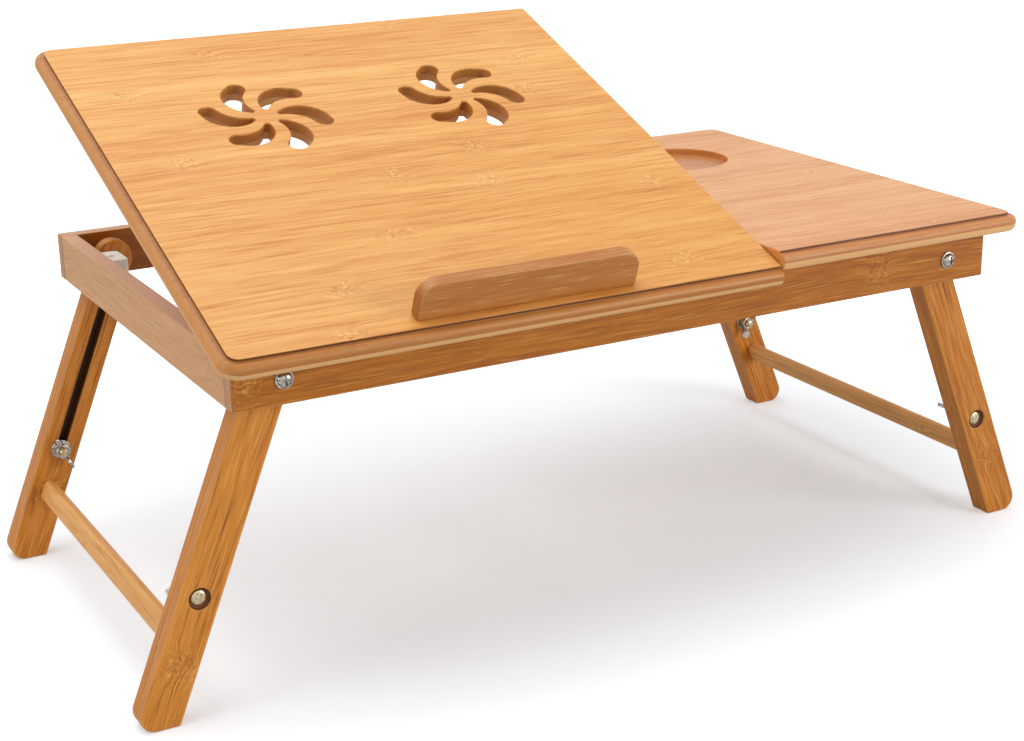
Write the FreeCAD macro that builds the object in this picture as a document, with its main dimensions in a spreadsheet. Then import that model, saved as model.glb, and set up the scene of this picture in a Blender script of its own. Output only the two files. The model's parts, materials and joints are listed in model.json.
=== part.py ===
"""Laptop stand with drawer: a folding bamboo table with a tilting top beside a fixed one.

All sizes are millimetres and degrees. X runs to the right, Y to the back and Z up. The origin is on the
floor, under the middle of the frame. The stand is modelled with its legs unfolded and pushed in, its top
tilted and its drawer closed. Every size is a cell of the sheet "sizes", and every piece is bound to it.
"""
import FreeCAD, Part
import math
import os
import Sketcher

SIZES = {
    # tops
    "top_length": 550, "top_depth": 350, "top_thick": 12, "tilt_top_length": 357.5, "top_gap": 1,
    "left_overhang": 9, "right_overhang": 21, "front_overhang": 13.5, "tilt_angle": 20.9, "top_corner": 12,
    "rim_width": 5.5, "rim_drop": 2, "rim_round": 4, "cup_radius": 39, "cup_depth": 5,
    "cup_from_front": 263.5,
    # fan openings: comma-shaped petals, given by four corners about the fan's centre and three curves
    "fan_left_x": 117, "fan_right_x": 255, "fan_from_front": 237.5, "petal_root_x": 8, "petal_root_y": 3,
    "petal_shoulder_x": 40, "petal_shoulder_y": -9, "petal_heel_x": 28.5, "petal_heel_y": -13.5,
    "petal_inner_x": 9, "petal_inner_y": 0.2, "petal_back_curve": 18.6, "petal_head_curve": 6.2,
    "petal_front_curve": 19.7,
    # stop ledge on the tilting top
    "ledge_from_left": 115.5, "ledge_length": 141, "ledge_high": 24, "ledge_thick": 9,
    "ledge_from_front": 10.8, "ledge_corner": 12, "ledge_screw_from_end": 30,
    # frame
    "rail_height": 30, "rail_thick": 10.5, "steepest_tilt": 35, "bevel_play": 0.4, "stub_length": 39,
    "middle_bar_thick": 10, "middle_bar_under": 4, "middle_bar_end": 1.5,
    # legs
    "leg_splay": 22, "leg_reach": 213.2, "leg_width": 25, "outer_board": 9, "inner_board": 7,
    "board_gap": 0.3, "pivot_inset": 30.1, "pivot_below_top": 15.5, "leg_setback": 16.4, "bolt_reach": 133.5,
    "slot_top": 26, "inner_top": 14, "inner_top_round": 3, "foot_round": 9, "foot_inner_round": 2,
    "crossbar_reach": 163, "crossbar_thick": 8, "crossbar_width": 14, "crossbar_round": 3,
    # leg hardware
    "pivot_radius": 2.5, "pivot_head": 4.5, "pivot_head_high": 2.8, "pivot_head_bevel": 1.2,
    "cross_long": 4.6, "cross_wide": 0.9, "cross_deep": 1.2, "pivot_washer": 5.5, "washer_thick": 1,
    "spacer_radius": 7, "spacer_play": 0.2, "nut_radius": 4.6, "nut_high": 4, "nut_pocket": 5.2,
    "running_play": 0.05, "bolt_radius": 2.5, "bolt_head": 5, "bolt_head_edge": 0.8, "bolt_head_dome": 1.4,
    "bolt_pocket": 6.2, "bolt_pocket_deep": 2.6, "slot_play": 0.3, "clamp_washer": 6.5,
    "clamp_washer_thick": 1.2, "clamp_play": 0.15, "wing_hub": 5, "wing_hub_high": 6,
    "wing_half_span": 11.5, "wing_high": 11, "wing_thick": 2.4, "wing_shoulder_high": 4.8,
    "wing_tip_from": 6.9, "wing_saddle": 3.5, "wing_rest_turn": 45, "bolt_beyond_nut": 3,
    # hinges of the tilting top
    "hinge_offset": 2.6, "knuckle_radius": 2.4, "hinge_pin": 1.2, "leaf_thick": 1.2, "leaf_reach": 17,
    "hinge_length": 40, "left_hinge_from_end": 78, "right_hinge_from_joint": 28.5, "knuckle_gap": 0.2,
    "leaf_clear": 0.3, "leaf_screw_across": 13, "leaf_screw_down": 10,
    # prop and its rack
    "prop_from_joint": 88.5, "prop_reach": 128, "prop_rod": 2, "prop_width": 60, "prop_pin": 12,
    "clip_width": 9, "clip_long": 24, "clip_cover": 1.6, "clip_play": 0.5, "clip_screw_out": 8,
    "rack_width": 28, "rack_high": 12, "rack_play": 0.3, "rack_pitch": 9, "rack_screw_down": 8.2,
    "groove_radius": 2.4, "groove_deep": 1.2,
    # drawer
    "drawer_behind": 9.5, "drawer_gap": 0.5, "drawer_rest": 0.1, "drawer_front_thick": 10,
    "drawer_side_thick": 7, "drawer_side_high": 21, "drawer_back_thick": 6, "drawer_back_high": 24.5,
    "drawer_bottom_thick": 3, "drawer_bottom_up": 3.4, "drawer_groove": 3, "runner_thick": 8,
    "runner_lip": 5, "runner_lip_thick": 3, "stop_high": 5.5, "stop_thick": 9, "stop_from_end": 24,
    "stop_half_length": 60, "notch_radius": 16, "notch_deep": 12,
    # nylon leg lock blocks
    "block_long": 25, "block_deep": 15, "block_high": 14, "block_below_top": 4.5, "block_from_leg": 28.3,
    "block_round": 3, "block_socket": 1.8,
    # wood screws: large ones in the frame, small ones in the hinges and clips
    "large_screw": 1.75, "large_head": 3.1, "rack_screw_long": 30, "block_screw_long": 22,
    "ledge_screw_long": 24, "crossbar_screw_long": 24, "small_screw": 1.3, "small_head": 2.5,
    "leaf_screw_long": 8, "clip_screw_long": 13,
}

# Places that follow from the sizes, as expressions that the sheet's cells drive.
PIVOT_Z = "(sizes.leg_reach * cos(sizes.leg_splay))"
RAIL_TOP = f"({PIVOT_Z} + sizes.pivot_below_top)"
RAIL_LOW = f"({RAIL_TOP} - sizes.rail_height)"
HALF_LENGTH = "((sizes.top_length - sizes.left_overhang - sizes.right_overhang) / 2)"
HALF_DEPTH = "(sizes.top_depth / 2 - sizes.front_overhang)"
INSIDE_X = f"({HALF_LENGTH} - sizes.rail_thick)"
INSIDE_Y = f"({HALF_DEPTH} - sizes.rail_thick)"
PIVOT_X = f"({HALF_LENGTH} - sizes.pivot_inset)"
TOP_LEFT = f"(-{HALF_LENGTH} - sizes.left_overhang)"
TOP_RIGHT = f"({TOP_LEFT} + sizes.top_length)"
JOINT_X = f"({TOP_LEFT} + sizes.tilt_top_length)"
FIXED_LEFT = f"({JOINT_X} + sizes.top_gap)"
HINGE_Y = f"(-{INSIDE_Y} + sizes.hinge_offset)"
HINGE_Z = f"({RAIL_TOP} - sizes.hinge_offset)"
TILT_FRONT = "(-sizes.front_overhang - sizes.rail_thick - sizes.hinge_offset)"
PROP_X = f"({JOINT_X} - sizes.prop_from_joint)"
RACK_TOP = f"({HINGE_Z} - sizes.prop_rod - sizes.rack_play)"
RACK_SCREW_Z = f"({RACK_TOP} - sizes.rack_screw_down)"
LEG_FACE_Y = f"({HALF_DEPTH} - sizes.leg_setback)"
BOARDS_THICK = "(sizes.outer_board + sizes.board_gap + sizes.inner_board)"
NUT_INNER_FACE = "(sizes.leg_setback + sizes.outer_board - sizes.spacer_play)"
CLAMP_FACE = f"({BOARDS_THICK} + sizes.clamp_play)"
WING_FACE = f"({CLAMP_FACE} + sizes.clamp_washer_thick)"
BOLT_END = f"({WING_FACE} + sizes.wing_hub_high + sizes.bolt_beyond_nut)"
CROSSBAR_HALF = f"({LEG_FACE_Y} - {BOARDS_THICK})"
DRAWER_HALF = f"({INSIDE_Y} - sizes.stub_length)"
DRAWER_BOX_HALF = f"({DRAWER_HALF} - sizes.runner_thick - sizes.drawer_gap)"
DRAWER_LOW = f"({RAIL_LOW} + sizes.runner_lip_thick + sizes.drawer_rest)"
DRAWER_FRONT_X = f"({HALF_LENGTH} - sizes.drawer_front_thick)"
MIDDLE_BAR_X = f"({JOINT_X} - sizes.middle_bar_under)"
DRAWER_INNER_X = f"({MIDDLE_BAR_X} + sizes.middle_bar_thick + sizes.drawer_behind)"
BLOCK_Y = f"({CROSSBAR_HALF} - sizes.block_from_leg)"
BLOCK_TOP = f"({RAIL_TOP} - sizes.block_below_top)"
BLOCK_MIDDLE = f"({BLOCK_TOP} - sizes.block_high / 2)"

DOC = FreeCAD.newDocument("laptop_stand_with_drawer")
PIECES = []
TINY = 1e-6
PETALS = 6
GROOVES = 5
GROOVE_AT_REST = 1
FRONT_AND_BACK = (("front", -1), ("back", 1))
LEFT_AND_RIGHT = (("left", -1), ("right", 1))


def make_sheet():
    """Write each driving dimension in a cell of its own, under its name."""
    sheet = DOC.addObject("Spreadsheet::Sheet", "sizes")
    for row, (name, value) in enumerate(SIZES.items(), start=1):
        sheet.set(f"A{row}", name)
        sheet.set(f"B{row}", str(value))
        sheet.setAlias(f"B{row}", name)
    DOC.recompute()


# ---------------------------------------------------------------- placements

def placed(x, y, z, axis="0;0;1", angle="0"):
    """Expression of a placement: a point and a turn about an axis through it."""
    return f"placement(vector({x}; {y}; {z}); rotation(vector({axis}); {angle}))"


def facing_in(x, side, y, z):
    """Placement on a front or back face, with local Z pointing to the middle of the frame."""
    return placed(x, f"({side} * {y})", z, "1;0;0", "90" if side > 0 else "-90")


def leg_pair_place(end):
    """Placement of a pair of legs: origin on the pivot line, local Z up along the splayed legs."""
    return placed(f"({end} * {PIVOT_X})", "0", PIVOT_Z, "0;1;0", f"({-end} * sizes.leg_splay)")


TILT_PLACE = placed("0", HINGE_Y, HINGE_Z, "1;0;0", "sizes.tilt_angle")
PROP_PLACE = placed(PROP_X, f"({HINGE_Y} + sizes.prop_reach * cos(sizes.tilt_angle))",
                    f"({HINGE_Z} + sizes.prop_reach * sin(sizes.tilt_angle))",
                    "1;0;0", "(-sizes.tilt_angle)")


def place(piece, placement):
    piece.setExpression("Placement", placement)
    return piece


def keep(piece, label, placement=None):
    """Name a finished piece, place it and list it for writing."""
    piece.Label = label
    if placement:
        place(piece, placement)
    PIECES.append(piece)
    return piece


# ---------------------------------------------------------------- sketched bodies

def new_body(name):
    return DOC.addObject("PartDesign::Body", name)


def new_sketch(body, role, offset=None):
    """Sketch on one of the body's own origin planes, moved along its normal where an offset is given."""
    sketch = body.newObject("Sketcher::SketchObject", f"{body.Name}_sketch")
    plane = next(item for item in body.Origin.OriginFeatures if item.Role == role)
    sketch.AttachmentSupport = [(plane, "")]
    sketch.MapMode = "FlatFace"
    if offset:
        sketch.setExpression("AttachmentOffset.Base.z", offset)
    return sketch


def bind(sketch, constraint, expression):
    """Add a constraint and bind its value to the sheet."""
    index = sketch.addConstraint(constraint)
    sketch.setExpression(f"Constraints[{index}]", expression)


def pin_point(sketch, edge, position, x, y):
    """Bind one point of an edge to its distances from the sketch's origin."""
    drawn = sketch.getPoint(edge, position)
    bind(sketch, Sketcher.Constraint("DistanceX", -1, 1, edge, position, drawn.x), x)
    bind(sketch, Sketcher.Constraint("DistanceY", -1, 1, edge, position, drawn.y), y)


def draw_polygon(sketch, points):
    """Closed outline of straight edges through points given as pairs of expressions."""
    count = len(points)
    turns = [2 * math.pi * index / count for index in range(count)]
    starts = [FreeCAD.Vector(math.cos(turn), math.sin(turn), 0) for turn in turns]
    for index in range(count):
        sketch.addGeometry(Part.LineSegment(starts[index], starts[(index + 1) % count]))
    for index, (x, y) in enumerate(points):
        sketch.addConstraint(Sketcher.Constraint("Coincident", index, 2, (index + 1) % count, 1))
        pin_point(sketch, index, 1, x, y)


def draw_rectangle(sketch, left, right, low, high):
    draw_polygon(sketch, [(left, low), (right, low), (right, high), (left, high)])


def draw_circle(sketch, x, y, radius):
    edge = sketch.addGeometry(Part.Circle(FreeCAD.Vector(0, 0, 0), FreeCAD.Vector(0, 0, 1), 1))
    pin_point(sketch, edge, 3, x, y)
    bind(sketch, Sketcher.Constraint("Radius", edge, 1.0), radius)


def petal_corner(name):
    return FreeCAD.Vector(SIZES[f"petal_{name}_x"], SIZES[f"petal_{name}_y"], 0)


def draw_petal_curve(sketch, start, end, curve, past_half=False):
    """Anticlockwise arc from one corner of a petal to another, with its radius bound to the sheet."""
    first = petal_corner(start)
    last = petal_corner(end)
    chord = last - first
    radius = SIZES[curve]
    rise = math.sqrt(radius ** 2 - (chord.Length / 2) ** 2)
    aside = FreeCAD.Vector(-chord.y, chord.x, 0).normalize() * (-rise if past_half else rise)
    circle = Part.Circle((first + last) / 2 + aside, FreeCAD.Vector(0, 0, 1), radius)
    edge = sketch.addGeometry(Part.ArcOfCircle(circle, circle.parameter(first), circle.parameter(last)))
    bind(sketch, Sketcher.Constraint("Radius", edge, radius), f"sizes.{curve}")
    return edge


def draw_petal(sketch):
    """Comma-shaped petal about the sketch's origin: narrow root, curved back, round head."""
    back = draw_petal_curve(sketch, "shoulder", "root", "petal_back_curve")
    head = draw_petal_curve(sketch, "heel", "shoulder", "petal_head_curve", past_half=True)
    front = draw_petal_curve(sketch, "heel", "inner", "petal_front_curve")
    root = sketch.addGeometry(Part.LineSegment(petal_corner("inner"), petal_corner("root")))
    for first, first_end, second, second_end in ((back, 1, head, 2), (head, 1, front, 1),
                                                 (front, 2, root, 1), (root, 2, back, 2)):
        sketch.addConstraint(Sketcher.Constraint("Coincident", first, first_end, second, second_end))
    for corner, edge, end in (("root", root, 2), ("inner", root, 1), ("shoulder", back, 1),
                              ("heel", head, 1)):
        pin_point(sketch, edge, end, f"sizes.petal_{corner}_x", f"sizes.petal_{corner}_y")


def add_pad(body, sketch, length, backwards=False):
    pad = body.newObject("PartDesign::Pad", f"{body.Name}_pad")
    pad.Profile = sketch
    pad.Reversed = backwards
    pad.setExpression("Length", length)
    DOC.recompute()
    return pad


def add_pocket(body, sketch, length):
    """Cut a pocket and make sure that it takes material away."""
    before = body.Shape.Volume
    pocket = body.newObject("PartDesign::Pocket", f"{body.Name}_pocket")
    pocket.Profile = sketch
    pocket.setExpression("Length", length)
    DOC.recompute()
    if body.Shape.Volume >= before:
        raise ValueError(f"{body.Name}: the pocket cuts nothing")
    return pocket


def add_fillet(body, base, radius, accepts):
    """Round the edges whose bounding box the test accepts."""
    names = [f"Edge{index}" for index, edge in enumerate(base.Shape.Edges, start=1)
             if accepts(edge.BoundBox)]
    fillet = body.newObject("PartDesign::Fillet", f"{body.Name}_fillet")
    fillet.Base = (base, names)
    fillet.setExpression("Radius", radius)
    DOC.recompute()
    return fillet


def upright(extent):
    """Edge that runs along local Z."""
    return extent.XLength < TINY and extent.YLength < TINY


def along_y(extent):
    """Edge that runs along local Y."""
    return extent.XLength < TINY and extent.ZLength < TINY


def at_x(extent, x):
    """Edge that lies in the plane of one X."""
    return extent.XLength < TINY and abs(extent.XMin - x) < TINY


# ---------------------------------------------------------------- primitives and booleans

def box(name, length, width, height, placement=None):
    """Box with its lowest corner at its placement."""
    solid = DOC.addObject("Part::Box", name)
    for side, value in (("Length", length), ("Width", width), ("Height", height)):
        solid.setExpression(side, value)
    return place(solid, placement) if placement else solid


def cylinder(name, radius, height, placement=None):
    solid = DOC.addObject("Part::Cylinder", name)
    solid.setExpression("Radius", radius)
    solid.setExpression("Height", height)
    return place(solid, placement) if placement else solid


def cone(name, low_radius, high_radius, height, placement=None):
    solid = DOC.addObject("Part::Cone", name)
    solid.setExpression("Radius1", low_radius)
    solid.setExpression("Radius2", high_radius)
    solid.setExpression("Height", height)
    return place(solid, placement) if placement else solid


def fuse(name, solids, placement=None):
    joined = DOC.addObject("Part::MultiFuse", name)
    joined.Shapes = solids
    joined.Refine = True
    return place(joined, placement) if placement else joined


def group(name, solids):
    together = DOC.addObject("Part::Compound", name)
    together.Links = solids
    return together


def cut(name, base, tools):
    """Take one tool, or several together, away from a base solid."""
    result = DOC.addObject("Part::Cut", name)
    result.Base = base
    result.Tool = tools[0] if len(tools) == 1 else group(f"{name}_tools", tools)
    return result


def ring(name, radius, hole, height, placement):
    """Flat washer or tube standing on its local Z."""
    disc = cylinder(f"{name}_disc", radius, height)
    return place(cut(name, disc, [cylinder(f"{name}_hole", hole, height)]), placement)


def wood_screw(name, kind, length, placement):
    """Countersunk wood screw, its head flush at local Z 0, pointing to local +Z."""
    sink = f"(sizes.{kind}_head - sizes.{kind}_screw)"
    head = cone(f"{name}_head", f"sizes.{kind}_head", f"sizes.{kind}_screw", sink)
    shank = cylinder(f"{name}_shank", f"sizes.{kind}_screw", length)
    return fuse(name, [head, shank], placement)


# ---------------------------------------------------------------- frame

def steepest_underside(name):
    """Solid above the underside of the tilting top at its steepest; it bevels the frame below."""
    under = "(sizes.hinge_offset - sizes.bevel_play)"
    y = f"({HINGE_Y} - {INSIDE_Y} * cos(sizes.steepest_tilt) - {under} * sin(sizes.steepest_tilt))"
    z = f"({HINGE_Z} - {INSIDE_Y} * sin(sizes.steepest_tilt) + {under} * cos(sizes.steepest_tilt))"
    return box(name, "(sizes.tilt_top_length + sizes.top_gap)", f"({INSIDE_Y} + sizes.hinge_offset)",
               "sizes.rail_height",
               placed(TOP_LEFT, y, z, "1;0;0", "sizes.steepest_tilt"))


def frame_board(name, half_length, placement):
    """Board along local X with its lower edge on local Z 0, growing to local +Y."""
    body = new_body(name)
    sketch = new_sketch(body, "XZ_Plane")
    draw_rectangle(sketch, f"(-{half_length})", half_length, "0", "sizes.rail_height")
    add_pad(body, sketch, "sizes.rail_thick", backwards=True)
    return place(body, placement)


def make_pivot_hardware():
    """Screw, washer, spacer and lock nut of each leg pivot; the screws also pierce the rails."""
    screws = []
    washers = []
    spacers = []
    nuts = []
    for hand, end in LEFT_AND_RIGHT:
        for word, side in FRONT_AND_BACK:
            corner = f"{word}_{hand}"
            spot = facing_in(f"({end} * {PIVOT_X})", side, HALF_DEPTH, PIVOT_Z)
            screws.append(place(pan_screw(f"pivot_screw_{corner}"), spot))
            washer = ring(f"pivot_washer_{corner}_ring", "sizes.pivot_washer", "sizes.pivot_radius",
                          "sizes.washer_thick", placed("0", "0", "(-sizes.washer_thick)"))
            washers.append(place(group(f"pivot_washer_{corner}", [washer]), spot))
            spacer = ring(f"pivot_spacer_{corner}_ring", "sizes.spacer_radius", "sizes.pivot_radius",
                          "(sizes.leg_setback - sizes.rail_thick - sizes.spacer_play)",
                          placed("0", "0", "sizes.rail_thick"))
            spacers.append(place(group(f"pivot_spacer_{corner}", [spacer]), spot))
            nuts.append(place(lock_nut(f"pivot_nut_{corner}"), spot))
    keep(group("pivot_washers", washers), "pivot_washers")
    keep(group("pivot_spacers", spacers), "pivot_spacers")
    keep(group("pivot_nuts", nuts), "pivot_nuts")
    return keep(group("pivot_screws", screws), "pivot_screws")


def pan_screw(name):
    """Cross-head pan screw through washer, rail, spacer and leg; local Z 0 is the rail's outer face."""
    head_top = "(-sizes.washer_thick - sizes.pivot_head_high)"
    bevel = cone(f"{name}_bevel", "(sizes.pivot_head - sizes.pivot_head_bevel)", "sizes.pivot_head",
                 "sizes.pivot_head_bevel", placed("0", "0", head_top))
    rim = cylinder(f"{name}_rim", "sizes.pivot_head", "(sizes.pivot_head_high - sizes.pivot_head_bevel)",
                   placed("0", "0", f"({head_top} + sizes.pivot_head_bevel)"))
    shank = cylinder(f"{name}_shank", "sizes.pivot_radius", f"({NUT_INNER_FACE} + sizes.washer_thick)",
                     placed("0", "0", "(-sizes.washer_thick)"))
    slots = []
    for word, turn in (("one", "0"), ("two", "90")):
        slot = box(f"{name}_slot_{word}_box", "sizes.cross_long", "sizes.cross_wide", "sizes.cross_deep",
                   placed("(-sizes.cross_long / 2)", "(-sizes.cross_wide / 2)", head_top))
        slots.append(place(group(f"{name}_slot_{word}", [slot]), placed("0", "0", "0", "0;0;1", turn)))
    return cut(name, fuse(f"{name}_solid", [bevel, rim, shank]), slots)


def lock_nut(name):
    prism = DOC.addObject("Part::Prism", f"{name}_prism")
    prism.Polygon = 6
    prism.setExpression("Circumradius", "sizes.nut_radius")
    prism.setExpression("Height", "sizes.nut_high")
    place(prism, placed("0", "0", f"({NUT_INNER_FACE} - sizes.nut_high)"))
    bore = cylinder(f"{name}_bore", "sizes.pivot_radius", NUT_INNER_FACE)
    return cut(name, prism, [bore])


def make_long_rails(pivot_screws, rack_screws, leaf_screws):
    for word, side in FRONT_AND_BACK:
        name = f"{word}_rail"
        outer = f"(-{HALF_DEPTH})" if side < 0 else INSIDE_Y
        blank = frame_board(f"{name}_blank", HALF_LENGTH, placed("0", outer, RAIL_LOW))
        tools = [pivot_screws, rack_screws]
        if side < 0:
            tools.extend([leaf_screws, steepest_underside("front_rail_bevel")])
        keep(cut(name, blank, tools), name)


def make_left_end_rail(block_screws):
    blank = frame_board("left_end_rail_blank", INSIDE_Y,
                        placed(f"(-{INSIDE_X})", "0", RAIL_LOW, "0;0;1", "90"))
    tools = [block_screws, steepest_underside("left_end_rail_bevel")]
    keep(cut("left_end_rail", blank, tools), "left_end_rail")


def make_right_end_stubs():
    """Short end pieces beside the drawer; the unfolded right legs rest against them."""
    for word, side in FRONT_AND_BACK:
        stub = box(f"right_end_stub_{word}", "sizes.rail_thick", "sizes.stub_length", "sizes.rail_height")
        near = DRAWER_HALF if side > 0 else f"(-{INSIDE_Y})"
        keep(stub, f"right_end_stub_{word}", placed(INSIDE_X, near, RAIL_LOW))


def make_middle_bar():
    """Bar under the joint of the two tops; the tilting top lies on its left edge when flat."""
    half = f"({DRAWER_HALF} + sizes.middle_bar_end)"
    bar = box("middle_bar", "sizes.middle_bar_thick", f"(2 * {half})", "sizes.rail_height")
    keep(bar, "middle_bar", placed(MIDDLE_BAR_X, f"(-{half})", RAIL_LOW))


def make_rack_screws():
    screws = [wood_screw(f"rack_screw_{word}", "large", "sizes.rack_screw_long",
                         facing_in(PROP_X, side, HALF_DEPTH, RACK_SCREW_Z))
              for word, side in FRONT_AND_BACK]
    return keep(group("rack_screws", screws), "rack_screws")


def make_rack_bar(rack_screws):
    """Brace from rail to rail whose top has shallow grooves for the foot of the prop."""
    body = new_body("rack_bar_blank")
    sketch = new_sketch(body, "XY_Plane")
    draw_rectangle(sketch, "(-sizes.rack_width / 2)", "(sizes.rack_width / 2)", f"(-{INSIDE_Y})", INSIDE_Y)
    add_pad(body, sketch, "sizes.rack_high", backwards=True)
    place(body, placed(PROP_X, "0", RACK_TOP))
    foot_y = f"({HINGE_Y} + 2 * sizes.prop_reach * cos(sizes.tilt_angle))"
    groove_z = f"({RACK_TOP} + sizes.groove_radius - sizes.groove_deep)"
    tools = [rack_screws]
    for step in range(GROOVES):
        y = f"({foot_y} + ({GROOVE_AT_REST} - {step}) * sizes.rack_pitch)"
        tools.append(cylinder(f"rack_groove_{step + 1}", "sizes.groove_radius", "sizes.rack_width",
                              placed(f"({PROP_X} - sizes.rack_width / 2)", y, groove_z, "0;1;0", "90")))
    keep(cut("rack_bar", body, tools), "rack_bar")


def block_face(side):
    """Placement on the inner face of a lock block, with local Z pointing to the left end rail."""
    return placed(f"(-{INSIDE_X} + sizes.block_deep)", f"({side} * {BLOCK_Y})",
                  BLOCK_MIDDLE, "0;1;0", "-90")


def make_block_screws():
    screws = [wood_screw(f"lock_block_screw_{word}", "large", "sizes.block_screw_long", block_face(side))
              for word, side in FRONT_AND_BACK]
    return keep(group("lock_block_screws", screws), "lock_block_screws")


def make_lock_blocks(block_screws):
    """Nylon leg lock blocks on the left end rail, one beside each left leg."""
    for word, side in FRONT_AND_BACK:
        name = f"leg_lock_block_{word}"
        body = new_body(f"{name}_blank")
        sketch = new_sketch(body, "XY_Plane")
        draw_rectangle(sketch, "0", "sizes.block_deep", "(-sizes.block_long / 2)", "(sizes.block_long / 2)")
        pad = add_pad(body, sketch, "sizes.block_high", backwards=True)
        inner_side = pad.Shape.BoundBox.XMax
        add_fillet(body, pad, "sizes.block_round", lambda edge: upright(edge) and at_x(edge, inner_side))
        middle = f"({side} * {BLOCK_Y})"
        place(body, placed(f"(-{INSIDE_X})", middle, BLOCK_TOP))
        socket = cylinder(f"{name}_socket", "sizes.block_socket", "(sizes.block_high / 4)",
                          placed(f"(-{INSIDE_X} + sizes.block_deep / 2)", middle,
                                 f"({BLOCK_TOP} - sizes.block_high / 4)"))
        keep(cut(name, body, [block_screws, socket]), name)


# ---------------------------------------------------------------- tops

def rimmed_top(name, left, right, front, low, joint_side):
    """Top board with a rounded rim, lower than its field, on three sides; the joint side is plain."""
    body = new_body(name)
    back = f"({front} + sizes.top_depth)"
    outline = new_sketch(body, "XY_Plane", low)
    draw_rectangle(outline, left, right, front, back)
    slab = add_pad(body, outline, "(sizes.top_thick - sizes.rim_drop)")
    extent = slab.Shape.BoundBox
    outer_x, joint_x = (extent.XMin, extent.XMax) if joint_side > 0 else (extent.XMax, extent.XMin)
    add_fillet(body, slab, "sizes.top_corner", lambda edge: upright(edge) and at_x(edge, outer_x))
    field = new_sketch(body, "XY_Plane", f"({low} + sizes.top_thick - sizes.rim_drop)")
    inset = "sizes.rim_width"
    field_left = left if joint_side < 0 else f"({left} + {inset})"
    field_right = right if joint_side > 0 else f"({right} - {inset})"
    draw_rectangle(field, field_left, field_right, f"({front} + {inset})", f"({back} - {inset})")
    raised = add_pad(body, field, "sizes.rim_drop")
    top_z = raised.Shape.BoundBox.ZMax
    corners = add_fillet(body, raised, "(sizes.top_corner - sizes.rim_width)",
                         lambda edge: upright(edge) and edge.ZMax > top_z - TINY
                         and not at_x(edge, joint_x))
    add_fillet(body, corners, "sizes.rim_round",
               lambda edge: edge.ZLength < TINY and not at_x(edge, joint_x)
               and (at_x(edge, outer_x) or edge.YMin < extent.YMin + TINY
                    or edge.YMax > extent.YMax - TINY))
    return body


def make_fixed_top():
    """Right-hand top, glued on the frame, with a shallow round recess for a cup."""
    front = "(-sizes.top_depth / 2)"
    body = rimmed_top("fixed_top", FIXED_LEFT, TOP_RIGHT, front, "0", -1)
    recess = new_sketch(body, "XY_Plane", "sizes.top_thick")
    draw_circle(recess, f"(({FIXED_LEFT} + {TOP_RIGHT}) / 2)", f"({front} + sizes.cup_from_front)",
                "sizes.cup_radius")
    add_pocket(body, recess, "sizes.cup_depth")
    keep(body, "fixed_top", placed("0", "0", RAIL_TOP))


def cut_fan(body, from_left):
    """Cut six petals through the tilting top round one centre."""
    sketch = new_sketch(body, "XY_Plane", "(sizes.hinge_offset + sizes.top_thick)")
    sketch.setExpression("AttachmentOffset.Base.x", f"({TOP_LEFT} + {from_left})")
    sketch.setExpression("AttachmentOffset.Base.y", f"({TILT_FRONT} + sizes.fan_from_front)")
    draw_petal(sketch)
    petal = add_pocket(body, sketch, "sizes.top_thick")
    fan = body.newObject("PartDesign::PolarPattern", f"{body.Name}_fan")
    fan.Originals = [petal]
    fan.Axis = (sketch, ["N_Axis"])
    fan.Angle = 360
    fan.Occurrences = PETALS
    body.Tip = fan
    DOC.recompute()


def make_tilt_screws():
    """Screws of the tilting top, in its own frame: moving hinge leaves, prop clips and ledge."""
    leaf = []
    clip = []
    ledge = []
    for hand, end in LEFT_AND_RIGHT:
        for out in (-1, 1):
            across = f"({hinge_x(end)} + {out} * sizes.leaf_screw_across)"
            under_leaf = placed(across, "sizes.leaf_screw_down", "(sizes.hinge_offset - sizes.leaf_thick)")
            leaf.append(wood_screw(f"tilt_leaf_screw_{hand}_{len(leaf)}", "small",
                                   "sizes.leaf_screw_long", under_leaf))
            along = f"(sizes.prop_reach + {out} * sizes.clip_screw_out)"
            clip.append(wood_screw(f"tilt_clip_screw_{hand}_{len(clip)}", "small", "sizes.clip_screw_long",
                                   placed(clip_middle(end), along, clip_low())))
        side_x = f"({ledge_middle()} + {end} * (sizes.ledge_length / 2 - sizes.ledge_screw_from_end))"
        ledge.append(wood_screw(f"tilt_ledge_screw_{hand}", "large", "sizes.ledge_screw_long",
                                placed(side_x, ledge_depth_middle(), "sizes.hinge_offset")))
    return (group("leaf_screws_tilt", leaf), group("clip_screws_tilt", clip),
            group("ledge_screws_tilt", ledge))


def ledge_middle():
    return f"({TOP_LEFT} + sizes.ledge_from_left + sizes.ledge_length / 2)"


def ledge_depth_middle():
    return f"({TILT_FRONT} + sizes.ledge_from_front + sizes.ledge_thick / 2)"


def make_tilt_top(leaf_screws, clip_screws, ledge_screws):
    """Left-hand top, hinged at the front, with two fan-shaped openings."""
    body = rimmed_top("tilt_top_blank", TOP_LEFT, JOINT_X, TILT_FRONT, "sizes.hinge_offset", 1)
    cut_fan(body, "sizes.fan_left_x")
    cut_fan(body, "sizes.fan_right_x")
    keep(cut("tilt_top", body, [leaf_screws, clip_screws, ledge_screws]), "tilt_top", TILT_PLACE)


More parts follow.
